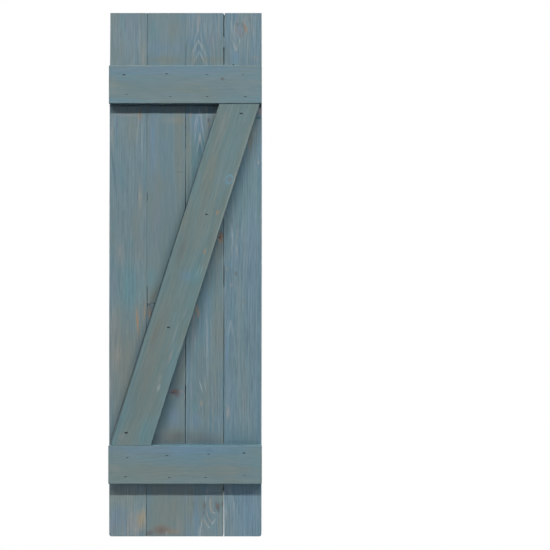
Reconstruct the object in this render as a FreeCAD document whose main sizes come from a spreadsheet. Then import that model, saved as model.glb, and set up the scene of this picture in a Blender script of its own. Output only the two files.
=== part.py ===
import FreeCAD, Part
import os

import Sketcher

# Board and batten shutter
# Four upright boards are held by two level battens, and a diagonal brace runs between the battens.
# +Z is up and the front faces -Y. The backs of the boards lie on the wall plane Y = 0.
# The origin is the middle of that back. Every size is in millimetres.

SIZES = [
    ("board_length", 1219.2, "height of the shutter"),
    ("board_width", 88.0, "width of one upright board"),
    ("board_depth", 19.0, "thickness of the upright boards"),
    ("seam_left", 0.6, "gap between the first and second boards"),
    ("seam_middle", 0.6, "gap between the second and third boards"),
    ("seam_right", 1.6, "gap between the third and fourth boards, which lets light through"),
    ("board_arris", 1.5, "radius of the eased edges round a board's front"),
    ("foot_corner", 4.0, "radius of the shutter's two lower corners, seen from the front"),
    ("batten_width", 88.9, "height of a batten"),
    ("batten_depth", 19.0, "thickness of a batten"),
    ("batten_overhang", 0.4, "how far a batten's end stands out past the outer board"),
    ("batten_setback", 126.0, "from the end of the boards to the batten"),
    ("batten_arris", 2.0, "radius of a batten's eased edges"),
    ("brace_width", 88.9, "width of the brace, square to its length"),
    ("brace_depth", 19.0, "thickness of the brace"),
    ("brace_inset", 6.0, "from a batten's end to the outer corner of the brace"),
    ("brace_joint", 0.4, "open joint between each end of the brace and its batten"),
    ("brace_arris", 2.0, "radius of the brace's eased long edges"),
]

BOARD_NAMES = ["first_board", "second_board", "third_board", "fourth_board"]
SEAM_NAMES = ["seam_left", "seam_middle", "seam_right"]

# Expressions shared by several pieces
BOARDS_WIDTH = "(4 * sizes.board_width + sizes.seam_left + sizes.seam_middle + sizes.seam_right)"
BATTEN_LENGTH = f"({BOARDS_WIDTH} + 2 * sizes.batten_overhang)"
BATTEN_CENTRE = "(sizes.board_length / 2 - sizes.batten_setback - sizes.batten_width / 2)"
BRACE_RISE = "(sizes.board_length - 2 * (sizes.batten_setback + sizes.batten_width + sizes.brace_joint))"
BRACE_SPREAD = f"({BATTEN_LENGTH} - 2 * sizes.brace_inset)"

ORIGIN_POINT = -1
START, END = 1, 2
SQUARE_TOLERANCE = 1e-6


def make_sizes(doc):
    """The spreadsheet of driving dimensions, one row each: what it is, and its value."""
    sheet = doc.addObject("Spreadsheet::Sheet", "sizes")
    for row, (alias, value, meaning) in enumerate(SIZES, start=1):
        sheet.set(f"A{row}", meaning)
        sheet.set(f"B{row}", str(value))
        sheet.setAlias(f"B{row}", alias)
    doc.recompute()
    return sheet


def make_body(doc, label, place):
    """A body of that name. Place gives the expression for each axis that it is moved along."""
    body = doc.addObject("PartDesign::Body", label)
    body.Label = label
    for axis, expression in place.items():
        body.setExpression(f"Placement.Base.{axis}", expression)
    return body


def face_sketch(body):
    """An empty sketch on the body's XZ plane: across is X, up is Z, and its normal is -Y."""
    plane = next(part for part in body.Origin.OriginFeatures if part.Role == "XZ_Plane")
    sketch = body.newObject("Sketcher::SketchObject", f"{body.Label}_outline")
    sketch.AttachmentSupport = [(plane, "")]
    sketch.MapMode = "FlatFace"
    return sketch


def four_sides(sketch, corners):
    """Four lines from corner to corner, anticlockwise from the lower left: foot, right, head, left."""
    points = [FreeCAD.Vector(across, up, 0) for across, up in corners]
    for start, end in zip(points, points[1:] + points[:1]):
        sketch.addGeometry(Part.LineSegment(start, end), False)
    for side in range(4):
        sketch.addConstraint(Sketcher.Constraint("Coincident", side, END, (side + 1) % 4, START))
    foot, head = 0, 2
    for side in (foot, head):
        sketch.addConstraint(Sketcher.Constraint("Horizontal", side))


def drive(sketch, name, constraint, expression):
    """Adds a constraint whose value follows the expression."""
    index = sketch.addConstraint(constraint)
    sketch.renameConstraint(index, name)
    sketch.setExpression(f"Constraints.{name}", expression)


def rectangle(sketch, width, height):
    """A rectangle about the sketch's origin, drawn as a square first and then driven to size."""
    half = sketch.Document.getObject("sizes").board_width / 2
    four_sides(sketch, [(-half, -half), (half, -half), (half, half), (-half, half)])
    foot, right, head, left = range(4)
    for side in (right, left):
        sketch.addConstraint(Sketcher.Constraint("Vertical", side))
    sketch.addConstraint(Sketcher.Constraint("Symmetric", foot, START, head, START, ORIGIN_POINT, START))
    drive(sketch, "width", Sketcher.Constraint("DistanceX", foot, START, foot, END, 2 * half), width)
    drive(sketch, "height", Sketcher.Constraint("DistanceY", right, START, right, END, 2 * half), height)


def slanted_outline(sketch, width, rise, spread):
    """The brace's outline about the sketch's origin: level ends, and two long sides that are parallel.

    Its lower left and upper right corners are set by the rise and the spread. The slant then follows
    from the width of the timber, which is measured square to the long sides. The outline is first
    drawn close to where it ends up, so that the slant settles on the side that it is wanted.
    """
    sheet = sketch.Document.getObject("sizes")
    half_rise = sheet.board_length / 2 - sheet.batten_setback - sheet.batten_width
    half_spread = len(BOARD_NAMES) * sheet.board_width / 2
    end_width = sheet.brace_width
    four_sides(
        sketch,
        [
            (-half_spread, -half_rise),
            (end_width - half_spread, -half_rise),
            (half_spread, half_rise),
            (half_spread - end_width, half_rise),
        ],
    )
    foot, right, head, left = range(4)
    sketch.addConstraint(Sketcher.Constraint("Parallel", right, left))
    sketch.addConstraint(Sketcher.Constraint("Symmetric", foot, START, head, START, ORIGIN_POINT, START))
    drive(sketch, "rise", Sketcher.Constraint("DistanceY", right, START, right, END, 2 * half_rise), rise)
    drive(sketch, "spread", Sketcher.Constraint("DistanceX", foot, START, head, START, 2 * half_spread), spread)
    drive(sketch, "width", Sketcher.Constraint("Distance", foot, START, right, end_width), width)


def pad(body, sketch, depth):
    """The outline made as thick as the timber, from the body's own back plane towards the front."""
    feature = body.newObject("PartDesign::Pad", f"{body.Label}_timber")
    feature.Profile = sketch
    feature.setExpression("Length", depth)
    body.Document.recompute()
    return feature


def fillet(body, base, name, radius, wanted):
    """Rounds the edges of base that wanted picks by their direction and middle point."""
    picked = []
    for number, edge in enumerate(base.Shape.Edges, start=1):
        direction = edge.tangentAt(edge.FirstParameter)
        if wanted(edge, direction):
            picked.append(f"Edge{number}")
    feature = body.newObject("PartDesign::Fillet", f"{body.Label}_{name}")
    feature.Base = (base, picked)
    feature.setExpression("Radius", radius)
    body.Document.recompute()
    return feature


def runs_front_to_back(edge, direction):
    return abs(abs(direction.y) - 1) < SQUARE_TOLERANCE


def borders_a_face(edge, direction):
    return not runs_front_to_back(edge, direction)


def borders_the_front(edge, direction):
    """The back of each piece is on its body's own Y = 0, so an edge of its front has both ends before it."""
    return borders_a_face(edge, direction) and edge.BoundBox.YMax < -SQUARE_TOLERANCE


def is_long_side(edge, direction):
    return borders_a_face(edge, direction) and abs(direction.z) > SQUARE_TOLERANCE


def make_board(doc, number):
    """One upright board, square at the back, where it lies on the wall, and eased round its front.

    The outer two have a rounded lower corner on the shutter's outside.
    """
    seams_before = "".join(f" + sizes.{seam}" for seam in SEAM_NAMES[:number])
    across = f"{number + 0.5} * sizes.board_width{seams_before} - {BOARDS_WIDTH} / 2"
    body = make_body(doc, BOARD_NAMES[number], {"x": across})
    sketch = face_sketch(body)
    rectangle(sketch, "sizes.board_width", "sizes.board_length")
    board = pad(body, sketch, "sizes.board_depth")
    outside = {0: -1, len(BOARD_NAMES) - 1: 1}.get(number)
    if outside:

        def is_foot_corner(edge, direction):
            middle = edge.CenterOfMass
            return runs_front_to_back(edge, direction) and middle.z < 0 and middle.x * outside > 0

        board = fillet(body, board, "foot_corner", "sizes.foot_corner", is_foot_corner)
    fillet(body, board, "arris", "sizes.board_arris", borders_the_front)
    return body


def make_batten(doc, label, side):
    """One level batten across the front of the boards, above (+) or below (-) the middle."""
    place = {"y": "-sizes.board_depth", "z": f"{side}{BATTEN_CENTRE}"}
    body = make_body(doc, label, place)
    sketch = face_sketch(body)
    rectangle(sketch, BATTEN_LENGTH, "sizes.batten_width")
    batten = pad(body, sketch, "sizes.batten_depth")
    corners = fillet(body, batten, "corners", "sizes.batten_arris", runs_front_to_back)
    fillet(body, corners, "arris", "sizes.batten_arris", borders_a_face)
    return body


def make_brace(doc):
    """The diagonal brace. Its ends are sawn level and seat against the two battens."""
    body = make_body(doc, "diagonal_brace", {"y": "-sizes.board_depth"})
    sketch = face_sketch(body)
    slanted_outline(sketch, "sizes.brace_width", BRACE_RISE, BRACE_SPREAD)
    brace = pad(body, sketch, "sizes.brace_depth")
    fillet(body, brace, "arris", "sizes.brace_arris", is_long_side)
    return body


def check(doc, bodies):
    """Stops with a message if any object failed, or any piece isn't one valid solid."""
    for item in doc.Objects:
        if "Invalid" in item.State or "Error" in item.State:
            raise RuntimeError(f"{item.Label} failed: {item.State}")
    for body in bodies:
        shape = body.Shape
        if shape.isNull() or not shape.isValid() or len(shape.Solids) != 1:
            raise RuntimeError(f"{body.Label} isn't one valid solid")


def main():
    doc = FreeCAD.newDocument("shutter")
    make_sizes(doc)
    bodies = [make_board(doc, number) for number in range(len(BOARD_NAMES))]
    bodies.append(make_batten(doc, "top_batten", "+"))
    bodies.append(make_batten(doc, "bottom_batten", "-"))
    bodies.append(make_brace(doc))
    doc.recompute()
    check(doc, bodies)
    os.makedirs("parts", exist_ok=True)
    for body in bodies:
        body.Shape.exportStep(f"parts/{body.Label}.step")
        box = body.Shape.optimalBoundingBox()
        print(f"{body.Label}: {box.XLength:.1f} x {box.YLength:.1f} x {box.ZLength:.1f} mm")


main()
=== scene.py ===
import functools
import math

import bmesh
import bpy
from bpy.props import FloatProperty, FloatVectorProperty, IntProperty, PointerProperty
from mathutils import Euler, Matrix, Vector, noise


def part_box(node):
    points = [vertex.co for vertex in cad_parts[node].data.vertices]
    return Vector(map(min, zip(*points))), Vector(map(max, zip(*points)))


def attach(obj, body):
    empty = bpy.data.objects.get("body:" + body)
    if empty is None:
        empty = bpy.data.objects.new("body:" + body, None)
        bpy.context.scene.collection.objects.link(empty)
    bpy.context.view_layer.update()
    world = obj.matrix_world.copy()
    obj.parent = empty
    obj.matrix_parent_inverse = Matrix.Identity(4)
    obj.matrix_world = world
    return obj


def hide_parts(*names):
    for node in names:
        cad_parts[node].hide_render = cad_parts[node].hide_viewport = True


bl_info = {
    "name": "Board and Batten Shutter",
    "version": (1, 0, 0),
    "blender": (4, 5, 0),
    "location": "3D View > Sidebar > Shutter",
    "description": "Builds a stained board and batten shutter with its staples, and a studio stage",
    "category": "Add Mesh",
}

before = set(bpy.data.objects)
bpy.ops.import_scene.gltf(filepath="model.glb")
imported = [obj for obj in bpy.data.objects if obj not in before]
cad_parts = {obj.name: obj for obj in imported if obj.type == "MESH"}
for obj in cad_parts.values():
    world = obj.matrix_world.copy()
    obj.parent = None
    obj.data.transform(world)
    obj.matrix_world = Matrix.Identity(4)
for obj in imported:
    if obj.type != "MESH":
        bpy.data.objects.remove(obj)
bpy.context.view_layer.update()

BOARDS = ("first_board", "second_board", "third_board", "fourth_board")
BATTENS = ("top_batten", "bottom_batten")
BRACE = "diagonal_brace"
BODY = "root"
MM = 0.001
PARALLEL = 0.999  # cosine above which two directions count as one

# Shapes
# Tables are in millimetres, across and up from the middle of the shutter.

# How each seam between two boards runs, from the top down:
# height, shift of its centre, gap at the front, gap at the back, how far right the back of the gap lies
SEAMS = (
    (
        (610, 0.3, 0.7, 0.4, 0), (500, 0, 0.6, 0.3, 0), (380, -0.4, 0.5, 0.3, 0), (330, -0.6, 0.35, 0.2, 0),
        (310, -0.8, 0.15, 0.15, 0), (194, -1, 0.15, 0.15, 0), (188, -0.4, 1.7, 0.4, 0),
        (176, -0.4, 1.7, 0.4, 0), (170, -1, 0.15, 0.15, 0), (140, -1.2, 0.4, 0.3, 0),
        (20, -1.3, 0.4, 0.3, 0), (-8, -1.5, 0.15, 0.15, 0), (-24, -0.6, 0.2, 0.2, 0),
        (-30, -0.4, 1.4, 0.4, 0), (-76, -0.4, 1.5, 0.4, 0), (-82, -1.2, 0.3, 0.2, 0),
        (-140, -1.6, 0.8, 0.3, 0), (-610, -2, 0.8, 0.4, 0),
    ),
    (
        (610, 0.5, 0.1, 0.1, 0), (540, 0.5, 0.12, 0.1, 0), (530, 0.45, 0.45, 0.15, 0),
        (500, 0.4, 0.4, 0.15, 0), (366, 0.4, 0.8, 0.15, 0), (363, 0.5, 1.5, 0.15, 0),
        (357, 0.5, 1.5, 0.15, 0), (354, 0.5, 0.8, 0.15, 0), (350, 0.5, 0.8, 0.15, 0),
        (347, 0.6, 1.8, 0.15, 0), (340, 0.6, 1.8, 0.15, 0), (337, 0.5, 0.6, 0.15, 0),
        (334, 0.5, 0.6, 0.15, 0), (331, 0.6, 1.8, 0.15, 0), (325, 0.6, 1.8, 0.15, 0),
        (322, 0.5, 0.9, 0.15, 0), (298, 0.5, 1, 0.15, 0), (294, 0.5, 0.3, 0.15, 0),
        (266, 0.5, 0.5, 0.15, 0), (260, 0.5, 1.1, 0.15, 0), (150, 0.4, 1.5, 0.15, 0),
        (-150, 0.4, 1.5, 0.15, 0), (-255, 0.5, 1, 0.15, 0), (-262, 0.4, 2.3, 0.15, 0),
        (-305, 0.3, 2.2, 0.15, 0), (-312, 0.2, 1.5, 0.15, 0), (-390, 0.1, 1.6, 0.15, 0),
        (-490, -0.3, 0.2, 0.15, 0), (-610, -0.3, 0.2, 0.15, 0),
    ),
    (
        (610, 0.9, 2.9, 0.8, 0.9), (556, 0.9, 2.75, 0.6, 0.9), (553, 0.85, 0.3, 0.3, 0.3),
        (530, 0.85, 0.3, 0.3, 0.3), (527, 0.85, 2.6, 0.6, 0.9), (497, 0.85, 2.2, 0.6, 0.9),
        (480, 0.8, 1.2, 0.6, 0.6), (120, 0.3, 1.2, 0.5, 0.6), (50, 0.3, 1.1, 0.5, 0.5),
        (30, 0.4, 0.2, 0.2, 0.2), (18, 0.9, 1.9, 0.4, 0.5), (-24, 0.9, 1.8, 0.3, 0.4),
        (-32, 0.6, 0.15, 0.15, 0.1), (-68, 0.6, 0.15, 0.15, 0.1), (-78, 0.8, 1.2, 0.4, 0.5),
        (-150, 0.85, 1.5, 0.5, 0.6), (-390, 0.5, 1.4, 0.5, 0.6), (-487, 0.1, 1.1, 0.5, 0.6),
        (-497, -0.2, 2.5, 0.5, 0.5), (-503, -0.2, 2.5, 0.5, 0.5), (-506, 0.05, 1.4, 0.6, 0.3),
        (-511, 0.1, 1.5, 1.45, 0), (-530, 0.12, 1.65, 1.65, 0), (-543, 0.16, 1.95, 1.95, 0),
        (-575, 0.16, 2.05, 2.05, 0), (-610, 0.16, 2.3, 2.3, 0),
    ),
)

SEAM_RAGGED = 0.25  # how far the width of a seam wanders
SEAM_GRAIN = 4.0  # length of that wandering
SEAM_APART = 10  # keeps the wandering of one seam apart from the next

# How the two outer edges run, from the top down: height, shift
LEFT_EDGE = ((610, 2.3), (384, 0.7), (0, -0.1), (-100, -0.4), (-610, -0.4))
RIGHT_EDGE = ((610, -0.2), (384, 0.2), (-610, -0.7))

# How far each batten's left end stops short of its full length
BATTEN_SHORT = {"top_batten": 2.3, "bottom_batten": 0.9}

# Staples: across, up, how deep the crown is sunk, how much of it the stain covers
STAPLES = {
    "top_batten": (
        (-140.8, 461.4, 0.9, 0.0), (-42.1, 464.0, 0.4, 0.0), (50.8, 461.4, 0.1, 0.5),
        (134.4, 461.9, 0.1, 0.55), (-134.6, 416.1, 0.1, 0.5), (-33.8, 411.3, 0.1, 0.38),
        (51.2, 411.3, 0.1, 0.35), (140.2, 411.3, 0.3, 0.0),
    ),
    "bottom_batten": (
        (-133.2, -422.6, 0.2, 0.15), (-41.4, -417.5, 0.3, 0.05), (55.4, -414.5, 0.3, 0.05),
        (137.0, -411.9, 0.8, 0.0), (-136.9, -466.5, 0.4, 0.0), (-35.9, -468.1, 0.3, 0.1),
        (48.0, -468.1, 0.2, 0.15), (138.1, -463.5, 0.1, 0.52),
    ),
    "diagonal_brace": (
        (130.5, 372.2, 1.1, 0.0), (50.3, 139.3, 0.9, 0.0), (-37.7, -121.7, 1.8, 0.0),
        (-135.3, -365.0, 2.0, 0.0),
    ),
}

# Finish, and painted shade and light
# Where the stain took less or more, or the wood shows another colour, or shade or light is painted on:
# colour, across, up, half width, half length along the grain, lean off the grain, strength
STREAKS = {
    "first_board": (
        ("blue", -133, 578, 34, 45, 0, 0.18), ("sage", -133, 325, 36, 80, 0, 0.22),
        ("deep", -133, 60, 50, 130, 0, 0.045), ("sky", -133, 545, 50, 60, 0, 0.04),
        ("pale", -133, 540, 50, 70, 0, 0.035), ("straw", -112, -150, 12, 45, 0.32, 0.06),
        ("soil_and_shade", -112, -150, 14, 45, 0.32, 0.15), ("soil_and_shade", -95, -75, 10, 34, 0.32, 0.12),
        ("khaki", -133, 130, 34, 110, 0, 0.15), ("moss", -133, -40, 45, 190, 0, 0.16),
        ("teal", -132, -22, 36, 55, 0, 0.22), ("khaki", -140, -240, 42, 150, 0, 0.48),
        ("bare", -120, -580, 26, 34, 0, 0.18), ("khaki", -145, -516, 45, 20, 0, 0.5),
        # Painted shade: the deep marks at the left ends of both battens carry their shadows to the board's
        # edge, and the deep and dark marks with a lean of 0.322 are the shade along the brace's left edge.
        ("sage", -140, -520, 45, 32, 0, 0.4), ("deep", -173, 386, 6, 8, 0, 0.4),
        ("deep", -173, -498, 8, 12, 0, 0.4), ("deep", -53, 0, 9, 600, 0.322, 0.26),
        ("dark", -49.8, 0, 1.6, 600, 0.322, 0.68), ("pale", -106.3, 552.9, 1.4, 30.3, 0, 0.26),
        ("bare", -99.3, 508.6, 2.8, 28, -0.05, 0.36), ("blue", -114, 552.9, 4.7, 55.9, 0, 0.3),
        ("mauve", -133.1, 583.2, 11.7, 28, 0, 0.24), ("teal", -144.8, 580.8, 9.3, 28, 0, 0.26),
        ("bare", -170.4, 331.4, 2.6, 44.3, 0, 0.33), ("blue", -159.9, 352.4, 5.1, 30.3, 0, 0.34),
        ("deep", -168.5, 254.5, 2.8, 42, -0.1, 0.45), ("deep", -159.2, 305.8, 3.5, 14, 0, 0.32),
        ("teal", -148.3, 221.8, 5.8, 28, 0, 0.42), ("khaki", -125, 338.4, 11.7, 42, 0, 0.34),
        ("rust", -106.3, 371, 5.6, 11.7, 0, 0.54), ("bare", -111, 345.4, 2.1, 32.6, 0, 0.29),
        ("pale", -101.6, 324.4, 1.6, 39.6, 0, 0.41), ("bare", -140.1, 373.4, 28, 5.8, 0, 0.2),
        ("teal", -93.5, 224.2, 2.1, 42, 0, 0.34), ("bare", -107, 182.2, 2.1, 23.3, 0, 0.33),
        ("bare", -106.3, 172.9, 2.1, 25.6, 0, 0.36), ("bare", -151.8, 47, 8.2, 28, 0, 0.27),
        ("bare", -115.6, 37.7, 1.6, 23.3, 0, 0.29), ("bare", -107.9, 48.2, 2.3, 9.3, 0, 0.26),
        ("teal", -125.7, 72.6, 7, 12.8, 0, 0.38), ("teal", -128.4, -9, 14, 28, 0, 0.42),
        ("mauve", -168.1, -22.9, 8.2, 28, 0, 0.32), ("teal", -166.9, 114.6, 7, 18.6, 0, 0.3),
        ("khaki", -116.8, 109.9, 9.3, 46.6, 0, 0.26), ("rust", -112.1, -108, 2.3, 29.1, -0.08, 0.85),
        ("bare", -166.9, -120.8, 7, 37.3, 0, 0.29), ("bare", -161.1, -190.8, 11.7, 28, 0, 0.33),
        ("teal", -130.8, -48.6, 20, 26, 0, 0.45), ("khaki", -144.8, -190.8, 23.3, 69.9, 0, 0.38),
        ("deep", -131.2, -118.5, 1, 37.3, 0, 0.32), ("deep", -124.7, -120.8, 1, 37.3, 0, 0.32),
        ("bare", -172.7, -256.1, 4.7, 32.6, 0, 0.23), ("pale", -134.3, -517.2, 1.6, 28, 0, 0.26),
        ("bare", -134.3, -584.8, 2.1, 25.6, 0, 0.42), ("blue", -160, -566, 17, 26, 0, 0.34),
        ("deep", -100.5, -601.5, 3.5, 5.1, 0, 0.32), ("bare", -113.3, -594.1, 7, 9.3, 0, 0.26),
        ("rust", -95.5, -89.5, 1.9, 15, 0.04, 0.62), ("rust", -94.6, -70.4, 1.5, 8, 0.1, 0.25),
        ("straw", -104.5, -570, 9.5, 22, 0, 0.75), ("straw", -98, -562, 4, 20, 0, 0.5),
        ("bare", -126.5, -556, 2.4, 34, 0, 0.4), ("bare", -134, -590, 1.9, 24, 0, 0.35),
        ("sage", -118, -530, 26, 20, 0, 0.3), ("bare", -108, -588, 2.6, 14, 0, 0.3),
        # Painted shade: the dark mark at up 394 is the shadow line just under the top batten.
        ("mauve", -168, -588, 9, 16, 0, 0.3), ("dark", -133, 394, 60, 2.4, 0, 0.72),
        ("teal", -102, -18, 10, 45, 0, 0.25), ("rust", -103, -573, 7, 18, 0, 0.22),
    ),
    "second_board": (
        ("pale", -45, 560, 50, 75, 0, 0.07), ("moss", -50, 70, 45, 140, 0, 0.36),
        # Painted shade: on these seven lines, the soil wash at up -330, the deep, soil and dark marks that
        # lean with the brace on both its sides, and the deep wash at up -392 above the bottom batten.
        ("soil_and_shade", -32, -330, 40, 80, 0.2, 0.1), ("soil_and_shade", -50, 100, 50, 130, 0, 0.045),
        ("moss", -45, -570, 50, 40, 0, 0.12), ("soil_and_shade", -80, -62, 14, 40, 0.32, 0.16),
        ("deep", -20, -216, 7, 55, 0.319, 0.1), ("soil_and_shade", -14, -216, 10, 55, 0.319, 0.13),
        ("deep", -38, -290, 20, 75, 0.319, 0.36), ("deep", -22, -245, 15, 26, 0.3, 0.16),
        ("khaki", -16, -240, 16, 26, 0.2, 0.3), ("deep", -50, -330, 15, 80, 0.319, 0.3),
        ("deep", -20, -392, 40, 36, 0, 0.5), ("deep", -53, 0, 9, 600, 0.322, 0.26),
        ("dark", -49.8, 0, 1.6, 600, 0.322, 0.68), ("deep", 48.5, 0, 5, 600, 0.319, 0.28),
        ("teal", -74.8, 576.2, 11.7, 32.6, 0, 0.34), ("blue", -56.2, 527.2, 37.3, 12.8, 0, 0.38),
        ("khaki", -42.2, 500.4, 42, 7, 0, 0.47), ("khaki", -25.9, 571.5, 18.6, 23.3, 0, 0.26),
        ("blue", -76, 301.1, 10.5, 79.3, 0, 0.51), ("khaki", -13.1, 294.1, 10.5, 116.6, 0, 0.51),
        ("bare", -25.9, 360.5, 23.3, 8.2, 0, 0.2), ("khaki", -56.2, 205.5, 9.3, 23.3, 0, 0.26),
        ("dark", -13.1, 239.3, 11.7, 1.2, 0, 0.28), ("mauve", -67.8, 128.6, 10.5, 65.3, 0, 0.24),
        ("teal", -79.5, -6.6, 11.7, 23.3, 0, 0.42), ("blue", -28.2, -333, 14, 25.6, 0, 0.42),
        # Painted shade: the soil wash at up -379.6, above the bottom batten.
        ("khaki", -25, -372, 32, 20, 0, 0.45), ("soil_and_shade", -31.7, -379.6, 32, 14, 0, 0.36),
        ("khaki", -46.9, -540.5, 37.3, 55.9, 0, 0.47), ("rust", -56.2, -594.1, 21, 11.7, 0, 0.36),
        ("soil_and_shade", -56.2, -595.2, 18, 10.5, 0, 0.62), ("umber", -84.2, -602.2, 8.2, 7, 0, 0.6),
        ("rust", -28.2, -598.7, 16.3, 7, 0, 0.41), ("pale", -44.1, -602.2, 1.9, 5.8, 0, 0.45),
        ("bare", -14.2, -584.8, 9.3, 18.6, 0, 0.2), ("umber", -70.9, -45.4, 3.6, 17.7, 0.47, 0.35),
        ("moss", -75.1, -42.1, 5.5, 19.5, 0.42, 0.5), ("pale", -87.7, -63.1, 1.6, 1.6, 0, 0.3),
        ("deep", -78, -74.6, 5.5, 3.5, 0, 0.3), ("dark", -87.7, -68.1, 1.08, 4.9, -1.16, 0.9),
        ("dark", -82.3, -68.2, 1.08, 4.1, 0.93, 0.9), ("dark", -78.3, -64.6, 0.8, 2.4, 1.43, 0.4),
        ("dark", -75.2, -65.6, 0.96, 2.8, -0.77, 0.9), ("dark", -71.1, -67.1, 1.08, 3.3, 8.25, 0.9),
        ("dark", -88.9, -71.6, 1.44, 5.5, 0.02, 0.9), ("rust", -87.2, -87.9, 1.6, 8, 0.02, 0.45),
        ("rust", -83.1, -89.5, 1.9, 11, 0.06, 0.7), ("umber", -80.1, -87.9, 1.6, 13.1, 0.12, 0.35),
        ("mauve", -32.9, -271, 6, 4.2, 0, 0.5), ("umber", -28, -272.5, 7.5, 5.2, 0, 0.7),
        ("rust", -24.5, -271.5, 3.5, 2.6, 0, 0.28), ("umber", -18.5, -271, 5, 3, 0, 0.55),
        ("rust", -12.5, -271.5, 4.5, 2.4, 0, 0.5), ("mauve", -8, -272.5, 6, 4, 0, 0.5),
        ("umber", -19, -279.5, 5.4, 5, 0.2, 0.7), ("rust", -18, -279, 2.6, 3, 0, 0.22),
        ("dark", -32, -274.7, 6.5, 1.2, 0, 0.5), ("khaki", -31.5, -285.5, 7, 6, 0, 0.45),
        ("teal", -12.5, -261.5, 9, 1.7, 0, 0.5), ("umber", -21, -265.5, 7, 2.4, 0, 0.45),
        # Painted shade: the dark mark at up 394 is the shadow line under the top batten, and the two dark
        # marks at up -376 and -378 on the next line are the shade above the bottom batten beside the
        # brace's foot.
        ("dark", -45, 394, 60, 2.4, 0, 0.72), ("soil_and_shade", -24, -273, 13, 6.5, 0, 0.3),
        ("dark", -13, -376, 13, 13, 0, 0.2), ("dark", -70, -378, 9, 10, 0, 0.2),
        ("dark", -15, -258, 14, 26, 0, 0.09), ("khaki", -20, -545, 13, 42, 0, 0.35),
        ("umber", -86, -88, 6, 8, 0, 0.3), ("khaki", -12, 359, 13, 11, 0, 0.35),
        ("khaki", -76, -52, 6, 16, 0.32, 0.4), ("dark", -74, -52, 5, 16, 0.32, 0.15),
        ("umber", -82, -77, 5, 7, 0, 0.35),
    ),
    "third_board": (
        ("pale", 44, 585, 50, 32, 0, 0.12), ("teal", 25, 275, 30, 70, 0, 0.3),
        ("teal", 70, -60, 30, 60, 0, 0.25), ("deep", 20, 260, 26, 120, 0, 0.1),
        ("soil_and_shade", 44, -230, 50, 60, 0, 0.03), ("deep", 44, 520, 50, 26, 0, 0.05),
        # Painted shade: on these seven lines, the deep and dark marks that lean with the brace are the
        # shade along both its edges, and the deep wash at up -392 is the shade above the bottom batten.
        ("khaki", 44, -532, 46, 26, 0, 0.34), ("deep", 79, 92, 6, 45, 0.319, 0.22),
        ("soil_and_shade", 44, -330, 50, 80, 0, 0.04), ("deep", 62, -15, 20, 40, 0.3, 0.15),
        ("deep", 40, -310, 50, 60, 0, 0.06), ("khaki", 30, -375, 40, 16, 0, 0.3),
        ("moss", 44, -230, 50, 110, 0, 0.18), ("deep", 60, 0, 26, 250, 0.319, 0.12),
        ("deep", 44, -392, 50, 34, 0, 0.45), ("pale", 50, -590, 50, 25, 0, 0.08),
        ("deep", -53, 0, 9, 600, 0.322, 0.26), ("dark", -49.8, 0, 1.6, 600, 0.322, 0.68),
        ("deep", 48.5, 0, 5, 600, 0.319, 0.28), ("pale", 10.3, 583.2, 1.4, 28, 0, 0.26),
        ("bare", 5.6, 578.5, 2.3, 23.3, 0, 0.23), ("blue", 13.8, 538.9, 5.8, 9.3, 0, 0.38),
        ("khaki", 46.4, 500.4, 39.6, 7, 0, 0.47), ("mauve", 60.4, 548.2, 14, 18.6, 0, 0.28),
        ("deep", 29.6, 531.9, 3.5, 7, 0, 0.36), ("blue", 28.9, 352.4, 14, 32.6, 0, 0.47),
        ("deep", 32.9, 294.1, 4.2, 18.6, 0, 0.54), ("bare", 33.6, 317.4, 2.6, 12.8, 0, 0.42),
        ("pale", 37.1, 368.7, 1.9, 10.5, 0, 0.45), ("pale", 24.2, 357, 1.9, 21, 0.15, 0.34),
        ("khaki", 5.6, 282.4, 3.7, 93.2, 0, 0.42), ("deep", 16.1, 282.4, 2.8, 58.3, 0, 0.32),
        ("rust", 11.4, 372.2, 3.5, 5.1, 0, 0.45), ("umber", 53.4, 359.4, 3, 6.1, 0, 0.65),
        ("rust", 56.2, 348.9, 3, 5.6, 0, 0.45), ("bare", 60.4, 368.7, 9.3, 5.8, 0, 0.2),
        ("khaki", 79, 42.3, 8.2, 46.6, 0, 0.42), ("rust", 82.5, 84.3, 4.7, 9.3, 0, 0.63),
        ("umber", 81.4, 93.6, 5.1, 8.2, 0, 0.8), ("dark", 86.2, 95, 2.2, 2.6, 0, 0.8),
        ("dark", 78.5, 86.6, 2.6, 2.6, 0, 0.75), ("khaki", 74.4, -116.2, 12.8, 104.9, 0, 0.42),
        ("blue", 48.7, -53.2, 5.1, 32.6, 0, 0.34), ("rust", 25.9, -78.9, 2.1, 8.2, 0, 0.77),
        ("rust", 29.6, -91, 2.1, 9.8, 0, 0.72), ("bare", 19.6, -96.4, 1.9, 11.7, 0, 0.26),
        ("pale", 50.6, -162.8, 2.6, 74.6, 0, 0.32), ("deep", 28.2, -109.2, 2.8, 11.7, 0, 0.45),
        ("mauve", 18.4, -139.5, 5.8, 18.6, 0, 0.32), ("pale", 21.9, -158.1, 1.4, 18.6, 0, 0.34),
        ("blue", 6.8, -202.4, 4.7, 18.6, 0, 0.34), ("deep", 37.1, -207.1, 0.9, 23.3, 0, 0.32),
        ("deep", 42.9, -207.1, 0.9, 23.3, 0, 0.32), ("pale", 46.4, -253.7, 1.4, 18.6, -0.1, 0.3),
        ("teal", 19.6, -309.7, 9.3, 16.3, 0, 0.38), ("bare", 36.4, -299.2, 2.6, 8.9, 0, 0.39),
        # Painted shade: the soil wash at up -381.9, above the bottom batten.
        ("blue", 23.1, -340, 14, 14, 0, 0.47), ("soil_and_shade", 41.7, -381.9, 40, 12, 0, 0.3),
        ("khaki", 72, -279.4, 9.3, 42, 0, 0.34), ("mauve", 13.8, -267.7, 5.8, 11.7, 0, 0.28),
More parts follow.
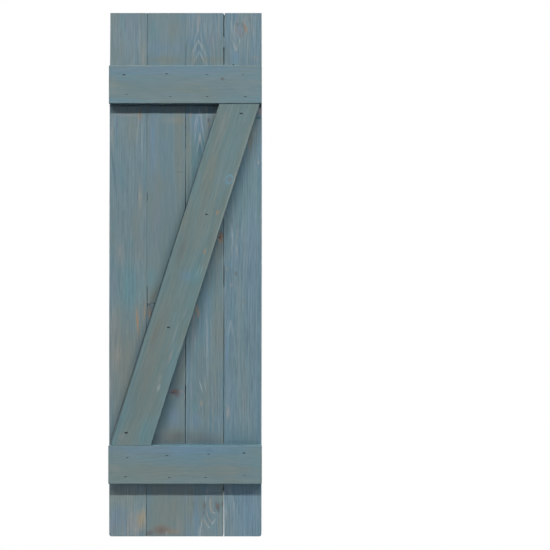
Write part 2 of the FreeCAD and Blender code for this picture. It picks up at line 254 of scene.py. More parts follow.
        ("khaki", 9.1, -552.1, 9.3, 51.3, 0, 0.42), ("blue", 24.2, -559.1, 5.1, 46.6, 0, 0.42),
        ("deep", 55.7, -563.8, 4.7, 11.7, 0, 0.32), ("teal", 62.7, -587.1, 9.3, 14, 0, 0.3),
        ("khaki", 79, -582.4, 4.7, 18.6, 0, 0.34), ("bare", 30.5, 592, 4.2, 22, 0, 0.36),
        ("pale", 30.1, 584.7, 3, 14, 0, 0.2), ("bare", 57.8, -526.5, 1.65, 8.1, 0.08, 0.78),
        ("bare", 58, -539, 1.43, 8.1, -0.12, 0.72), ("bare", 60.9, -549.2, 1.32, 6.5, -0.5, 0.78),
        ("pale", 66.6, -554.7, 1.32, 5.3, -4, 0.65), ("bare", 50.5, -557.9, 1.32, 8.5, -0.3, 0.65),
        ("bare", 54.6, -568.7, 1.32, 6.8, -0.52, 0.72), ("bare", 59.2, -576.8, 1.43, 5.9, -0.65, 0.91),
        ("pale", 65.3, -575.3, 1.43, 7.8, 0.61, 0.72), ("bare", 46.9, -575.3, 1.54, 6.3, -0.43, 0.85),
        ("bare", 50.9, -583.3, 1.43, 6.1, -0.59, 0.91), ("pale", 55.2, -588.4, 1.32, 3.6, -1.35, 0.65),
        ("bare", 38.1, -573.6, 1.32, 6.7, 0.18, 0.65), ("pale", 36, -585.4, 1.43, 9, 0.18, 0.65),
        ("pale", 34.2, -598.9, 1.43, 8.9, 0.06, 0.55), ("pale", 47.3, -522.9, 1.32, 10.2, -0.03, 0.55),
        ("bare", 50.2, -503.6, 1.32, 7.5, 0.03, 0.39), ("umber", 43.8, -537.1, 2.5, 7.5, 0, 0.95),
        ("umber", 43.1, -554.3, 1.5, 7, 0.09, 0.65), ("umber", 72.8, -536.3, 3, 7.5, -0.11, 0.75),
        ("umber", 75.5, -546.7, 2.6, 6.8, -0.33, 0.7), ("rust", 73, -535.9, 2.4, 5.5, 0, 0.3),
        ("umber", 85.8, -534.6, 2, 6, 0, 0.75), ("blue", 81.3, -543.6, 2.6, 4.5, 0, 0.35),
        ("deep", 74.8, -508.1, 3, 12.9, 20, 0.3), ("rust", 85.6, 87.6, 1.8, 4.2, 0, 0.75),
        # Painted shade: the deep line at across 86.4 is the shade on the board's right edge beside the gap
        # at the foot.
        ("rust", 82.6, 77.5, 2.2, 4, 0, 0.45), ("deep", 86.4, -560, 1.2, 60, 0, 0.4),
        # Painted shade: the dark mark at up 394 is the shadow line under the top batten, and the dark mark
        # at up -499.5 darkens the seam gap below the bottom batten.
        ("dark", 44, 394, 60, 2.4, 0, 0.72), ("dark", 87, -499.5, 1.6, 3.4, 0, 0.9),
        ("pale", 35.9, -260, 1.5, 16, -0.33, 0.4), ("pale", 46.5, -263, 1.3, 10, -0.33, 0.3),
        # Painted shade: the dark mark at up -376, above the bottom batten.
        ("straw", 36.8, -299, 2.2, 7, 0, 0.5), ("dark", 8, -376, 8, 12, 0, 0.15),
        ("umber", 80, -538, 5, 9, 0, 0.25), ("khaki", 6, 359, 6, 11, 0, 0.3),
        ("deep", 76, -38, 8, 20, 0, 0.12), ("khaki", 7, 312, 7, 50, 0, 0.4),
        ("rust", 43.8, -538, 2.2, 6, 0, 0.3),
    ),
    "fourth_board": (
        ("teal", 150, 180, 35, 80, 0, 0.3), ("moss", 133, -190, 45, 140, 0, 0.2),
        ("deep", 133, -330, 60, 60, 0, 0.06), ("deep", 112, 190, 34, 45, 0, 0.09),
        ("pale", 133, 570, 50, 55, 0, 0.045), ("deep", 133, -60, 60, 300, 0, 0.05),
        # Painted shade and light: the deep wash at up -392 is the shade above the bottom batten, the deep
        # mark at up -498 carries that batten's shadow to the board's right end, the sage mark at up 336
        # paints light right of the brace's top, and the deep mark that leans with the brace is the shade
        # along its right edge.
        ("deep", 133, -392, 50, 34, 0, 0.5), ("pale", 133, -575, 50, 45, 0, 0.09),
        ("deep", 172, -498, 8, 12, 0, 0.4), ("slate", 148, -560, 20, 50, 0, 0.7),
        ("sage", 166, 336, 9, 30, 0.2, 0.4), ("deep", 48.5, 0, 5, 600, 0.319, 0.28),
        ("mauve", 124.5, 572.7, 9.3, 12.8, 0, 0.36), ("mauve", 129.1, 557.1, 8.2, 4.7, 0, 0.32),
        ("bare", 116.3, 529.6, 2.8, 8.2, 0, 0.18), ("pale", 107.5, 580.8, 1.6, 25.6, 0, 0.2),
        ("bare", 139.6, 599.5, 3.5, 9.3, 0, 0.23), ("bare", 156, 573.8, 2.8, 14, -0.1, 0.26),
        ("blue", 114, 599.5, 5.8, 11.7, 0, 0.42), ("blue", 116.3, 506.2, 14, 14, 0, 0.38),
        ("bare", 163, 503.9, 9.3, 8.2, 0, 0.2), ("khaki", 151.3, 317.4, 4.7, 32.6, 0, 0.34),
        ("rust", 149, 305.8, 2.3, 14, 0, 0.32), ("bare", 168.8, 263.8, 2.3, 5.8, 0, 0.26),
        ("deep", 96.5, 93.6, 4.7, 51.3, 0, 0.36), ("blue", 156, 70.3, 16.3, 81.6, 0, 0.34),
        ("pale", 100, 133.3, 1.4, 18.6, -0.1, 0.26), ("pale", 131.5, 109.9, 1.4, 28, 0, 0.3),
        ("straw", 97.8, 13.2, 2.8, 3.4, 0, 0.6), ("umber", 117, 2.7, 4, 5.5, 0, 0.42),
        ("bare", 106.4, -24.1, 3, 4.4, 0, 0.42), ("blue", 96.5, -172.1, 4.7, 65.3, 0, 0.38),
        ("pale", 114, -167.5, 1.4, 23.3, 0, 0.26), ("pale", 123.3, -41.6, 1.6, 21, 0, 0.26),
        ("khaki", 136.1, -61.4, 4.7, 9.3, 0, 0.3), ("blue", 107, -291, 11.7, 46.6, 0, 0.26),
        ("bare", 98.8, -322.5, 2.8, 15.2, 0, 0.58), ("khaki", 138.5, -291, 5.8, 32.6, 0, 0.3),
        ("blue", 149, -559.1, 21, 55.9, 0, 0.26), ("bare", 94.2, -561.4, 2.1, 14, 0, 0.26),
        ("pale", 111.2, -528.8, 1.6, 21, -0.1, 0.34), ("rust", 140.2, 576.3, 1.7, 7.1, -0.39, 0.95),
        ("rust", 141.2, 567, 1.5, 6.3, 0.23, 0.8), ("rust", 117.7, 570.4, 1.2, 6.1, -0.12, 0.5),
        ("umber", 121.4, 584.3, 1.5, 3.8, -0.57, 0.35), ("rust", 129.5, 557.8, 1.6, 6.4, -1.33, 0.35),
        ("blue", 125.3, 576, 3, 6, 0, 0.3), ("pale", 107.9, 592.5, 1.2, 11.7, 0.11, 0.3),
        ("pale", 107.5, 568.2, 1.6, 17.5, -0.05, 0.28), ("bare", 149.2, 586.7, 1.2, 16.3, -0.04, 0.25),
        ("bare", 158.5, 568.7, 1.3, 13.6, 0.19, 0.3), ("dark", 111.3, 488.4, 2.3, 2.3, 0, 0.85),
        ("bare", 117.5, 526.4, 2, 5, 0, 0.2), ("mauve", 170.2, 382.4, 6, 9, 0, 0.6),
        ("rust", 174, 378.8, 1.3, 6.5, 0, 0.9), ("deep", 169.1, 365.4, 6.5, 3.6, 0, 0.95),
        ("khaki", 154.2, 316.8, 3.5, 21.6, 0.25, 0.45), ("pale", 111.2, -524.2, 1.2, 8.9, -0.28, 0.32),
        ("pale", 113.5, -536.8, 1.1, 7.5, -0.04, 0.25), ("pale", 96.3, -554.7, 1.3, 7, -0.19, 0.4),
        ("pale", 98.9, -567.1, 1.3, 9.1, -0.23, 0.35), ("bare", 136.5, 586, 3.2, 7.5, 0, 0.36),
        ("umber", 119.3, 582, 2.6, 5, -0.3, 0.28), ("teal", 121, 573, 2.6, 7, 0, 0.3),
        ("mauve", 124, 561, 7.5, 3.2, 0, 0.3), ("dark", 168.5, 365.4, 5.5, 2.4, 0, 0.35),
        # Painted shade and light: the dark mark at up 392 is the shade in the corner under the top batten,
        # and the pale mark at up 383 paints light just below it.
        ("dark", 172.5, 392, 4, 4.5, 0, 0.6), ("pale", 171, 383, 4.5, 6, 0, 0.4),
        ("pale", 108.6, 96, 1.8, 20, -0.106, 0.36), ("pale", 106.4, 58.7, 1.8, 18, 0.207, 0.26),
        ("bare", 119.8, 91, 1.6, 15, 0.184, 0.42), ("bare", 119.8, 58.7, 1.7, 18, -0.119, 0.36),
        ("mauve", 113.5, 55, 3.5, 18, 0, 0.22), ("umber", 133.5, 582, 3.6, 6, 0, 0.3),
        ("rust", 137.2, 573, 2.6, 8, 0.1, 0.4), ("bare", 160, 600, 16, 8, 0, 0.12),
    ),
    "top_batten": (
        ("blue", -90.9, 470.7, 9.2, 104, 0, 0.47), ("blue", 47.8, 470.7, 9.2, 92.4, 0, 0.34),
        ("khaki", -21.6, 430.2, 20.8, 184.9, 0, 0.3), ("blue", -20, 408, 8, 70, 0, 0.1),
        ("bare", 70, 468, 10, 90, 0, 0.05), ("bare", -166, 437.2, 18.5, 8.1, 0, 0.13),
        ("bare", 15.4, 442.9, 3.5, 39.3, 0, 0.11), ("bare", 47.8, 429.1, 2.8, 13.9, 0, 0.11),
        ("bare", 61.6, 453.3, 2.3, 16.2, 0, 0.13), ("bare", 114.8, 453.3, 2.3, 18.5, 0, 0.09),
        ("pale", -130.2, 486.2, 1.8, 20.8, 0, 0.17), ("bare", -21.6, 403.7, 1.8, 80.9, 0, 0.07),
        ("umber", 87.1, 452, 3.2, 4.8, 0, 0.72), ("rust", 86.5, 450.8, 4.5, 7.5, 0, 0.06),
        # Painted shade and highlight: the dark mark at up 394.6 darkens the batten's underside, and the
        # pale marks at up 482.8 and 483.2 are a painted highlight along its upper edge.
        ("dark", 0, 394.6, 1.9, 1000, 0, 1), ("pale", -110, 482.8, 2, 60, 0, 0.28),
        ("pale", 20, 483.2, 1.4, 110, 0, 0.15), ("blue", -30, 416, 5, 110, 0, 0.14),
        ("bare", 145, 440, 36, 42, 0, 0.06),
    ),
    "bottom_batten": (
        ("blue", -21.6, -405.2, 11.6, 150.2, 0, 0.51), ("khaki", -44.7, -454.9, 20.8, 161.8, 0, 0.47),
        ("teal", 24.7, -423.7, 1.8, 23.1, 0, 0.42), ("umber", 110, -450, 26, 60, 0, 0.05),
        ("pale", -64.3, -394.8, 2.8, 4.6, 0, 0.19), ("pale", 171.4, -394.8, 3.5, 2.8, 0, 0.17),
        ("deep", 57, -405.2, 3.5, 9.2, 0, 0.23), ("bare", -162.5, -445.7, 13.9, 13.9, 0, 0.09),
        ("bare", 103.2, -450.3, 18.5, 18.5, 0, 0.09), ("teal", 163.3, -431.8, 23.1, 13.9, 0, 0.21),
        # Painted shade: the deep mark at up -394.1 darkens the batten's top face.
        ("deep", 0, -394.1, 1, 1000, 0, 0.45), ("teal", -120, -455, 20, 50, 0, 0.1),
        ("khaki", 100, -462, 16, 80, 0, 0.2),
    ),
    "diagonal_brace": (
        ("pale", 50.6, 130, 9, 230, 0, 0.1), ("khaki", -30, -40, 15, 330, 0, 0.28),
        ("teal", 26, 0, 9, 90, 0, 0.2), ("khaki", -58, -95, 15, 70, 0, 0.32),
        ("khaki", -110, -255, 11, 80, 0, 0.3), ("deep", -112, -285, 24, 95, 0, 0.15),
        ("deep", -95, -250, 14, 70, 0, 0.1), ("deep", -46, -235, 9, 55, 0, 0.08),
        ("umber", -106, -260, 16, 85, 0, 0.06), ("bare", 87.1, 337.8, 9.2, 92.4, 0, 0.14),
        ("khaki", 59.3, 245.3, 13.9, 57.8, 0, 0.38), ("teal", 124, 349.3, 11.6, 57.8, 0, 0.21),
        ("rust", 91.7, 221.1, 1.6, 6.5, 0, 0.3), ("rust", 115.3, 229.2, 1.8, 6.9, 0, 0.27),
        ("khaki", 1.6, 115.9, 13.9, 46.2, 0, 0.42), ("umber", -7.7, 55.8, 9.2, 32.4, 0, 0.28),
        ("khaki", 38.5, 92.8, 9.2, 57.8, 0, 0.26), ("teal", 24.7, -4.3, 20.8, 20.8, 0, 0.51),
        ("blue", 1.6, -1.9, 13.9, 11.6, 0, 0.42), ("rust", 75.5, 144.1, 2.8, 6, 0, 0.77),
        ("rust", 45.5, 54, 2.5, 6, 0, 0.81), ("pale", 29.3, 5, 1.2, 13.9, 0, 0.26),
        ("pale", 38.5, 9.6, 1.2, 13.9, 0, 0.26), ("bare", 50.1, 92.8, 1.8, 32.4, 0, 0.16),
        ("khaki", -72.4, -161.4, 16.2, 80.9, 0, 0.47), ("umber", -67.8, -138.3, 6.9, 37, 0, 0.2),
        ("teal", 15.4, -69, 11.6, 46.2, 0, 0.34), ("teal", -21.6, -198.4, 11.6, 34.7, 0, 0.26),
        ("bare", -0.8, -92.1, 1.8, 11.6, 0, 0.33), ("pale", -21.6, -133.7, 1.8, 20.8, 0, 0.3),
        ("bare", -33.1, -189.1, 2.8, 18.5, 0, 0.33), ("pale", -16.9, -182.2, 1.6, 20.8, 0, 0.26),
        ("khaki", -93.2, -258.5, 8.1, 46.2, 0, 0.51), ("teal", -134.8, -323.2, 11.6, 27.7, 0, 0.22),
        ("teal", -93.2, -355.5, 11.6, 27.7, 0, 0.42), ("pale", -60.8, -260.8, 3.7, 8.1, 0, 0.38),
        ("bare", -146.4, -374, 9.2, 6.9, 0, 0.16), ("pale", -57.4, -240, 1.6, 11.6, 0, 0.3),
        ("pale", 107.5, 200, 1.5, 180, 0, 0.25), ("mauve", 102.8, 219, 4.5, 7.5, 0, 0.3),
        ("bare", 116.3, 219, 1.6, 8, 0, 0.3),
    ),
}

# Grain lines that meet in a point: colour, across, up,
# how far a leg spreads for each step along (under 0: the legs open upward), reach, half width, strength
CHEVRONS = {
    "third_board": (
        ("pale", 32, 520.6, 0.46, 34, 1.7, 0.37), ("pale", 30.1, 546.8, 0.48, 42, 1.7, 0.4),
        ("pale", 30.1, 575, 0.28, 52, 1.7, 0.26), ("pale", 32.4, 385, 0.16, 93.2, 1.6, 0.38),
        ("pale", 33.6, 326.7, 0.17, 60.6, 1.4, 0.38),
    ),
    "fourth_board": (
        ("pale", 117.5, 521, -0.36, 42, 2.2, 0.32), ("pale", 104.7, -106.9, 0.16, 42, 1.6, 0.34),
    ),
}

# Knots: colour of the core, how strong, colour of the rim, how strong, across, up, radius,
# how much longer along the grain
KNOTS = {
    "second_board": (("umber", 0.12, "mauve", 0.15, -24.0, -273.5, 13.0, 0.6),),
    "third_board": (
        ("umber", 0.35, "rust", 0.35, 83.2, 85.5, 7.0, 1.3),
        ("umber", 0.3, "teal", 0.3, 76.5, -539.3, 7.0, 1.4),
    ),
    "fourth_board": (
        ("mauve", 0.22, "umber", 0.12, 129.0, 571.0, 9.5, 1.35),
        ("bare", 0.4, "deep", 0.2, 170.0, 260.0, 4.0, 1.3),
    ),
    "diagonal_brace": (("mauve", 0.2, "sky", 0.62, 102.8, 220.0, 7.0, 1.3),),
}

# Each timber's grain. The heart of the tree runs along the timber, and its path is given from one end
# to the other: place from 0 to 1, how far it lies across and behind the timber's own middle.
# cool and warm are the stain's two tones, rings the width of a growth ring, lines how pale its latewood
# lines are, contrast how much its tone varies, and patch shifts the pattern.
TIMBERS = {
    "first_board": {
        "cool": (0.147, 0.229, 0.263), "warm": (0.172, 0.225, 0.228), "rings": 5.2, "lines": 0.14,
        "contrast": 0.85, "patch": 11.0,
        "heart": ((0.0, 78, 38), (0.35, 70, 36), (0.7, 84, 40), (1.0, 74, 36)),
    },
    "second_board": {
        "cool": (0.142, 0.222, 0.252), "warm": (0.156, 0.216, 0.219), "rings": 7.0, "lines": 0.10,
        "contrast": 0.48, "patch": 27.0,
        "heart": ((0.0, -30, 70), (0.4, -22, 64), (0.75, -34, 72), (1.0, -26, 66)),
    },
    "third_board": {
        "cool": (0.132, 0.222, 0.264), "warm": (0.158, 0.218, 0.222), "rings": 6.0, "lines": 0.22,
        "contrast": 0.85, "patch": 43.0,
        "heart": (
            (0.0, -9, 13), (0.1, -11, 17), (0.3, -11, 19.5), (0.42, -12, 22), (0.6, -12, 24),
            (0.76, -12, 26.5), (0.93, -12, 29.5), (0.95, -12, 32.5), (1.0, -13, 35.5),
        ),
    },
    "fourth_board": {
        "cool": (0.138, 0.229, 0.276), "warm": (0.152, 0.226, 0.250), "rings": 5.2, "lines": 0.22,
        "contrast": 1.05, "patch": 59.0,
        "heart": (
            (0.0, -26, 11), (0.25, -26, 14), (0.45, -24, 16), (0.6, -21, 12), (0.8, -20, 15), (1.0, -16, 8),
        ),
    },
    "top_batten": {
        "cool": (0.147, 0.239, 0.270), "warm": (0.167, 0.233, 0.233), "rings": 8.0, "lines": 0.05,
        "contrast": 0.5, "patch": 75.0, "heart": ((0.0, 10, 60), (0.5, 16, 66), (1.0, 8, 58)),
    },
    "bottom_batten": {
        "cool": (0.141, 0.232, 0.262), "warm": (0.161, 0.221, 0.217), "rings": 8.0, "lines": 0.05,
        "contrast": 0.5, "patch": 91.0, "heart": ((0.0, -14, 58), (0.5, -8, 64), (1.0, -16, 60)),
    },
    "diagonal_brace": {
        "cool": (0.130, 0.213, 0.223), "warm": (0.150, 0.201, 0.190), "rings": 7.0, "lines": 0.07,
        "contrast": 0.55, "patch": 107.0, "heart": ((0.0, 30, 48), (0.5, 24, 54), (1.0, 34, 50)),
    },
}

# What the vertices carry for the materials
COVER = "stain_cover"  # how much of a staple's wire the stain covers
POOL_AND_SHADE = "stain_pool_and_shade"  # how dark a staple's slot is: stain pooling there, and painted shade in the slot

# Marks and grain, in millimetres where they are sizes
SOFT = 1.7  # how many times its half size a mark reaches before it is gone
FADE = math.exp(-1.0)  # how much of a grain line is left at its half width
THROUGH = 1e4  # size through the timber of a mark that goes right through it
ON_FRONT = ("deep", "dark", "soil_and_shade", "khaki", "moss", "sage", "slate")  # tones kept to a board's front, since several of them paint shade there
RING_WANDER = 4.5  # how far the growth rings stray
HEART_REACH = 120.0  # how far off a timber's middle its heart may lie
PATCH_STEP = (0, 10, 50)  # how far the pattern shifts for each step of patch

# How wear and stain show on the timbers
EDGE_RUB = 0.08  # how pale the rubbed edges are
SIDE_SOAK = 0.5  # how much deeper the stain is on the narrow faces
END_SOAK = 0.35  # how much darker the sawn ends are
SHEEN = 0.18  # how much the stain shines
RELIEF = 0.15 * MM  # how far the grain stands up
RELIEF_SHARE = 0.35  # how much of that relief the stain leaves

# Lamps, in metres: place, the point that it faces, width and height.
# All but the rear lamp are shifted sideways with the camera.
LAMPS = {
    "key": ((0, -1.55, 2.0), (0, 0, 0), (4.2, 0.16)),
    "left_fill": ((-2.2, -1.6, 0.4), (0, 0, 0), (1.2, 1.4)),
    "right_fill": ((2.2, -1.6, 0.4), (0, 0, 0), (1.2, 1.4)),
    "low_fill": ((0, -1.0, -0.95), (0, 0, -0.6), (2.4, 0.4)),
    "rear": ((0.6, 2.2, 1.0), (0, 0, 0), (1.6, 1.2)),
}
FLOOR_SIDES = 96  # corners of the round floor
FLOOR_FADE = (0.45, 0.98)  # where the floor starts to fade and is gone, as shares of its radius

# Shader sockets
VECTOR, FLOAT, COLOUR = "NodeSocketVector", "NodeSocketFloat", "NodeSocketColor"
MIX_FACTOR, MIX_FIRST, MIX_SECOND, MIX_RESULT = 0, 6, 7, 2  # sockets of a mix of two colours
WHITE = (1.0, 1.0, 1.0)


class ShutterTimber(bpy.types.PropertyGroup):
    """Sizes of the timbers' finished edges"""

    board_arris: FloatProperty(
        name="Board arris", description="Radius of the eased edges of a board",
        default=0.7 * MM, unit="LENGTH")
    foot_corner: FloatProperty(
        name="Foot corner", description="Radius of the shutter's two lower corners",
        default=5.0 * MM, unit="LENGTH")
    corner_steps: IntProperty(
        name="Corner steps", description="Faces round each lower corner", default=6, min=1)
    batten_arris: FloatProperty(
        name="Batten arris", description="Radius of the eased edges of a batten",
        default=1.6 * MM, unit="LENGTH")
    brace_arris: FloatProperty(
        name="Brace arris", description="Radius of the brace's eased long edges",
        default=0.5 * MM, unit="LENGTH")
    brace_width: FloatProperty(
        name="Brace width", description="Width of the brace, square to its length",
        default=88.4 * MM, unit="LENGTH")
    brace_shift: FloatProperty(
        name="Brace shift", description="How far right of its drawn place the brace was fixed",
        default=0.6 * MM, unit="LENGTH")
    board_cuts: IntProperty(
        name="Board cuts", description="Cuts along a board, which let it follow its seams",
        default=400, min=8)
    arris_segments: IntProperty(
        name="Arris segments", description="Faces round an eased edge", default=3, min=1)


class ShutterStaple(bpy.types.PropertyGroup):
    """Sizes of the wire staples that hold the battens and the brace"""

    crown: FloatProperty(name="Crown", description="Length of the crown", default=6.0 * MM, unit="LENGTH")
    wire: FloatProperty(name="Wire", description="Thickness of the wire", default=1.45 * MM, unit="LENGTH")
    leg: FloatProperty(
        name="Leg", description="Length of a leg below the crown", default=28.0 * MM, unit="LENGTH")
    bend: FloatProperty(
        name="Bend", description="Inner radius of the bends", default=0.5 * MM, unit="LENGTH")
    bend_steps: IntProperty(name="Bend steps", description="Faces round a bend", default=4, min=1)
    play: FloatProperty(
        name="Play", description="Room round a crown that is sunk by a millimetre",
        default=0.5 * MM, unit="LENGTH")


class ShutterStain(bpy.types.PropertyGroup):
    """Colours of the stain, the bare wood and the wire, some of which also paint shade and light on the
    timbers
    """

    line: FloatVectorProperty(
        name="Line", description="Latewood lines under the stain",
        subtype="COLOR", default=(0.36, 0.36, 0.345))
    bare: FloatVectorProperty(
        name="Bare", description="Wood that took little stain",
        subtype="COLOR", default=(0.36, 0.31, 0.265))
    # Also paints light: a highlight along the top batten's upper edge, and light in the fourth board's
    # corner under the top batten
    pale: FloatVectorProperty(
        name="Pale", description="Wood that the stain left pale",
        subtype="COLOR", default=(0.38, 0.41, 0.41))
    rust: FloatVectorProperty(
        name="Rust", description="Resin streaks", subtype="COLOR", default=(0.33, 0.215, 0.125))
    straw: FloatVectorProperty(
        name="Straw", description="Yellow wood that shows through",
        subtype="COLOR", default=(0.330, 0.300, 0.205))
    umber: FloatVectorProperty(
        name="Umber", description="Knots and their shadows", subtype="COLOR", default=(0.115, 0.083, 0.076))
    khaki: FloatVectorProperty(
        name="Khaki", description="Where brown wood shows through",
        subtype="COLOR", default=(0.185, 0.200, 0.165))
    mauve: FloatVectorProperty(
        name="Mauve", description="Heartwood under the stain",
        subtype="COLOR", default=(0.215, 0.220, 0.280))
    blue: FloatVectorProperty(
        name="Blue", description="Where the stain is bluest",
        subtype="COLOR", default=(0.140, 0.235, 0.335))
    teal: FloatVectorProperty(
        name="Teal", description="Where the stain is greenest",
        subtype="COLOR", default=(0.105, 0.235, 0.262))
    sky: FloatVectorProperty(
        name="Sky", description="Stain that stands round a knot",
        subtype="COLOR", default=(0.150, 0.330, 0.440))
    # Also paints light on the fourth board, right of the brace's top
    sage: FloatVectorProperty(
        name="Sage", description="Where the stain is thin and grey",
        subtype="COLOR", default=(0.200, 0.260, 0.245))
    moss: FloatVectorProperty(
        name="Moss", description="Where the stain is dull and green",
        subtype="COLOR", default=(0.150, 0.206, 0.180))
    # Also paints shade: along the brace's edges and above the bottom batten
    soil_and_shade: FloatVectorProperty(
        name="Soil", description="Dirt and dark stain that settled on the front", subtype="COLOR",
        default=(0.115, 0.083, 0.076))
    slate: FloatVectorProperty(
        name="Slate", description="Plain blue-grey stain over even grain",
        subtype="COLOR", default=(0.143, 0.228, 0.272))
    # Also paints shade and shadow: beside the brace, at the battens' ends, above the bottom batten and on
    # that batten's top face
    deep: FloatVectorProperty(
        name="Deep", description="Where the stain is strongest",
        subtype="COLOR", default=(0.060, 0.140, 0.175))
    # Also paints shade: the line under the top batten and its underside, the line along the brace's left
    # edge, corners by the brace and the battens, and the seam gap below the bottom batten
    dark: FloatVectorProperty(
        name="Dark", description="Small holes, checks and pooled stain",
        subtype="COLOR", default=(0.02, 0.022, 0.026))
    wire: FloatVectorProperty(
        name="Wire", description="Staple wire", subtype="COLOR", default=(0.035, 0.038, 0.044))


class ShutterStage(bpy.types.PropertyGroup):
    """The camera, the lamps and the floor"""

    camera_distance: FloatProperty(
        name="Camera distance", description="From the boards' front to the camera",
        default=2.2, unit="LENGTH")
    camera_side: FloatProperty(
        name="Camera side", description="How far right of the shutter's middle the camera stands",
        default=208.4 * MM, unit="LENGTH")
    view_width: FloatProperty(
        name="View width", description="Width of the picture at the boards' front",
        default=1.281, unit="LENGTH")
    camera_height: FloatProperty(
        name="Camera height", description="How far above the shutter's middle the camera stands",
        default=-0.7 * MM, unit="LENGTH")
    floor_drop: FloatProperty(
        name="Floor drop", description="From the shutter's middle down to the floor",
        default=1.55, unit="LENGTH")
    floor_radius: FloatProperty(
        name="Floor radius", description="Radius of the floor", default=3.0, unit="LENGTH")
    floor_colour: FloatVectorProperty(
        name="Floor", description="Colour of the floor", subtype="COLOR", default=(0.86, 0.86, 0.86))
    floor_bounce: FloatVectorProperty(
        name="Floor bounce", description="Colour of the light that the floor throws back", subtype="COLOR",
        default=(0.04, 0.04, 0.04))
    ambient: FloatProperty(name="Ambient", description="Light from all round", default=0.01)
    key: FloatProperty(name="Key", description="Power of the strip lamp above", default=13.7, unit="POWER")
    fill: FloatProperty(
        name="Fill", description="Power of each soft lamp at the side", default=8.4, unit="POWER")
    low_fill: FloatProperty(
        name="Low fill", description="Power of the lamp by the floor", default=4.3, unit="POWER")
    fill_colour: FloatVectorProperty(
        name="Fill colour", description="Colour of the lamps at the side and by the floor", subtype="COLOR",
        default=(0.80, 0.86, 1.0))
    rear: FloatProperty(
        name="Rear", description="Power of the soft lamp behind", default=46.0, unit="POWER")


def run_of(points, height):
    """The values beside a height, eased from one row of a table to the next."""
    if height >= points[0][0]:
        return points[0][1:]
    for upper, lower in zip(points, points[1:]):
        if height >= lower[0]:
            share = (upper[0] - height) / (upper[0] - lower[0])
            share = share * share * (3 - 2 * share)
            return tuple(a + (b - a) * share for a, b in zip(upper[1:], lower[1:]))
    return points[-1][1:]


def block(low, high):
    """A bmesh of a sawn block between two corners."""
    bm = bmesh.new()
    verts = bmesh.ops.create_cube(bm, size=1.0)["verts"]
    bmesh.ops.scale(bm, vec=high - low, verts=verts)
    bmesh.ops.translate(bm, vec=(low + high) / 2, verts=verts)
    return bm


def runs_along(edge, axis):
    """Whether an edge lies along the axis 0, 1 or 2."""
    run = edge.verts[1].co - edge.verts[0].co
    return abs(run[axis]) > PARALLEL * run.length


def sharp_edges(bm):
    """The edges where two faces of the timber meet nearly square."""
    square = math.radians(60)
    return [edge for edge in bm.edges if edge.calc_face_angle(0.0) > square]


def ease(bm, edges, radius, segments):
    """Rounds edges, and shades the rounding smooth."""
    made = bmesh.ops.bevel(
        bm, geom=edges, offset=radius, offset_type="OFFSET", segments=segments, profile=0.5,
        affect="EDGES", clamp_overlap=True, material=-1)
    for face in made["faces"]:
        face.smooth = True


def draw_out(bm, faces, way):
    """Draws a copy of some faces out of a shape, and gives back the vertices that moved."""
    made = bmesh.ops.extrude_face_region(bm, geom=faces, use_keep_orig=True)["geom"]
    moved = [item for item in made if isinstance(item, bmesh.types.BMVert)]
    bmesh.ops.translate(bm, vec=way, verts=moved)
    return moved


def finish_piece(bm, name, material, node=None):
    """Makes the bmesh an object that rides with the shutter."""
    mesh = bpy.data.meshes.new(name)
    bm.to_mesh(mesh)
    bm.free()
    mesh.materials.append(material)
    piece = bpy.data.objects.new(node + "_timber" if node else name, mesh)
    bpy.context.scene.collection.objects.link(piece)
    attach(piece, BODY)
    if node:
        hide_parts(node)


def seam_run(number, height):
    """The seam right of a board at a height: its centre, gap at the front, gap and lag at the back."""
    left, right = BOARDS[number], BOARDS[number + 1]
    shift, front, back, lag = (value * MM for value in run_of(SEAMS[number], height / MM))
    ragged = noise.noise((0, SEAM_APART * number, height / (SEAM_GRAIN * MM))) * SEAM_RAGGED * MM
    centre = (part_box(left)[1].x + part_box(right)[0].x) / 2 + shift
    return centre, max(front + ragged, back / 2), back, lag


def board_edges(number, height):
    """A board's left and right edges at a height, each at the front and at the back."""
    low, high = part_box(BOARDS[number])
    if number > 0:
        centre, front, back, lag = seam_run(number - 1, height)
        left = (centre + front / 2, centre + lag + back / 2)
    else:
        left = (low.x + run_of(LEFT_EDGE, height / MM)[0] * MM,) * 2
    if number < len(BOARDS) - 1:
        centre, front, back, lag = seam_run(number, height)
        right = (centre - front / 2, centre + lag - back / 2)
    else:
        right = (high.x + run_of(RIGHT_EDGE, height / MM)[0] * MM,) * 2
    return left, right


def shape_board(number, sizes):
    """One upright board, which follows the seams beside it."""
    low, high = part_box(BOARDS[number])
    middle = (low + high) / 2
    bm = block(low, high)
    upright = [edge for edge in bm.edges if runs_along(edge, 2)]
    bmesh.ops.subdivide_edges(bm, edges=upright, cuts=sizes.board_cuts, use_grid_fill=True)
    outside = {0: -1, len(BOARDS) - 1: 1}.get(number, 0)
    spacing = (high.z - low.z) / (sizes.board_cuts + 1)
    # The lowest rows of vertices crowd together, so that an outer corner can be round
    for vert in bm.verts:
        row = round((vert.co.z - low.z) / spacing)
        turn = math.radians(90) * min(row / sizes.corner_steps, 1.0)
        if row <= sizes.corner_steps:
            vert.co.z = low.z + sizes.foot_corner * (1 - math.cos(turn))
        side = -1 if vert.co.x < middle.x else 1
        left, right = board_edges(number, vert.co.z)
        pair = left if side < 0 else right
        vert.co.x = pair[0] if vert.co.y < middle.y else pair[1]
        if side == outside:
            vert.co.x -= side * sizes.foot_corner * (1 - math.sin(turn))
    ease(bm, sharp_edges(bm), sizes.board_arris, sizes.arris_segments)
    # The easing can push a round corner a hair below the board's end
    for vert in bm.verts:
        vert.co.z = max(vert.co.z, low.z)
    return bm


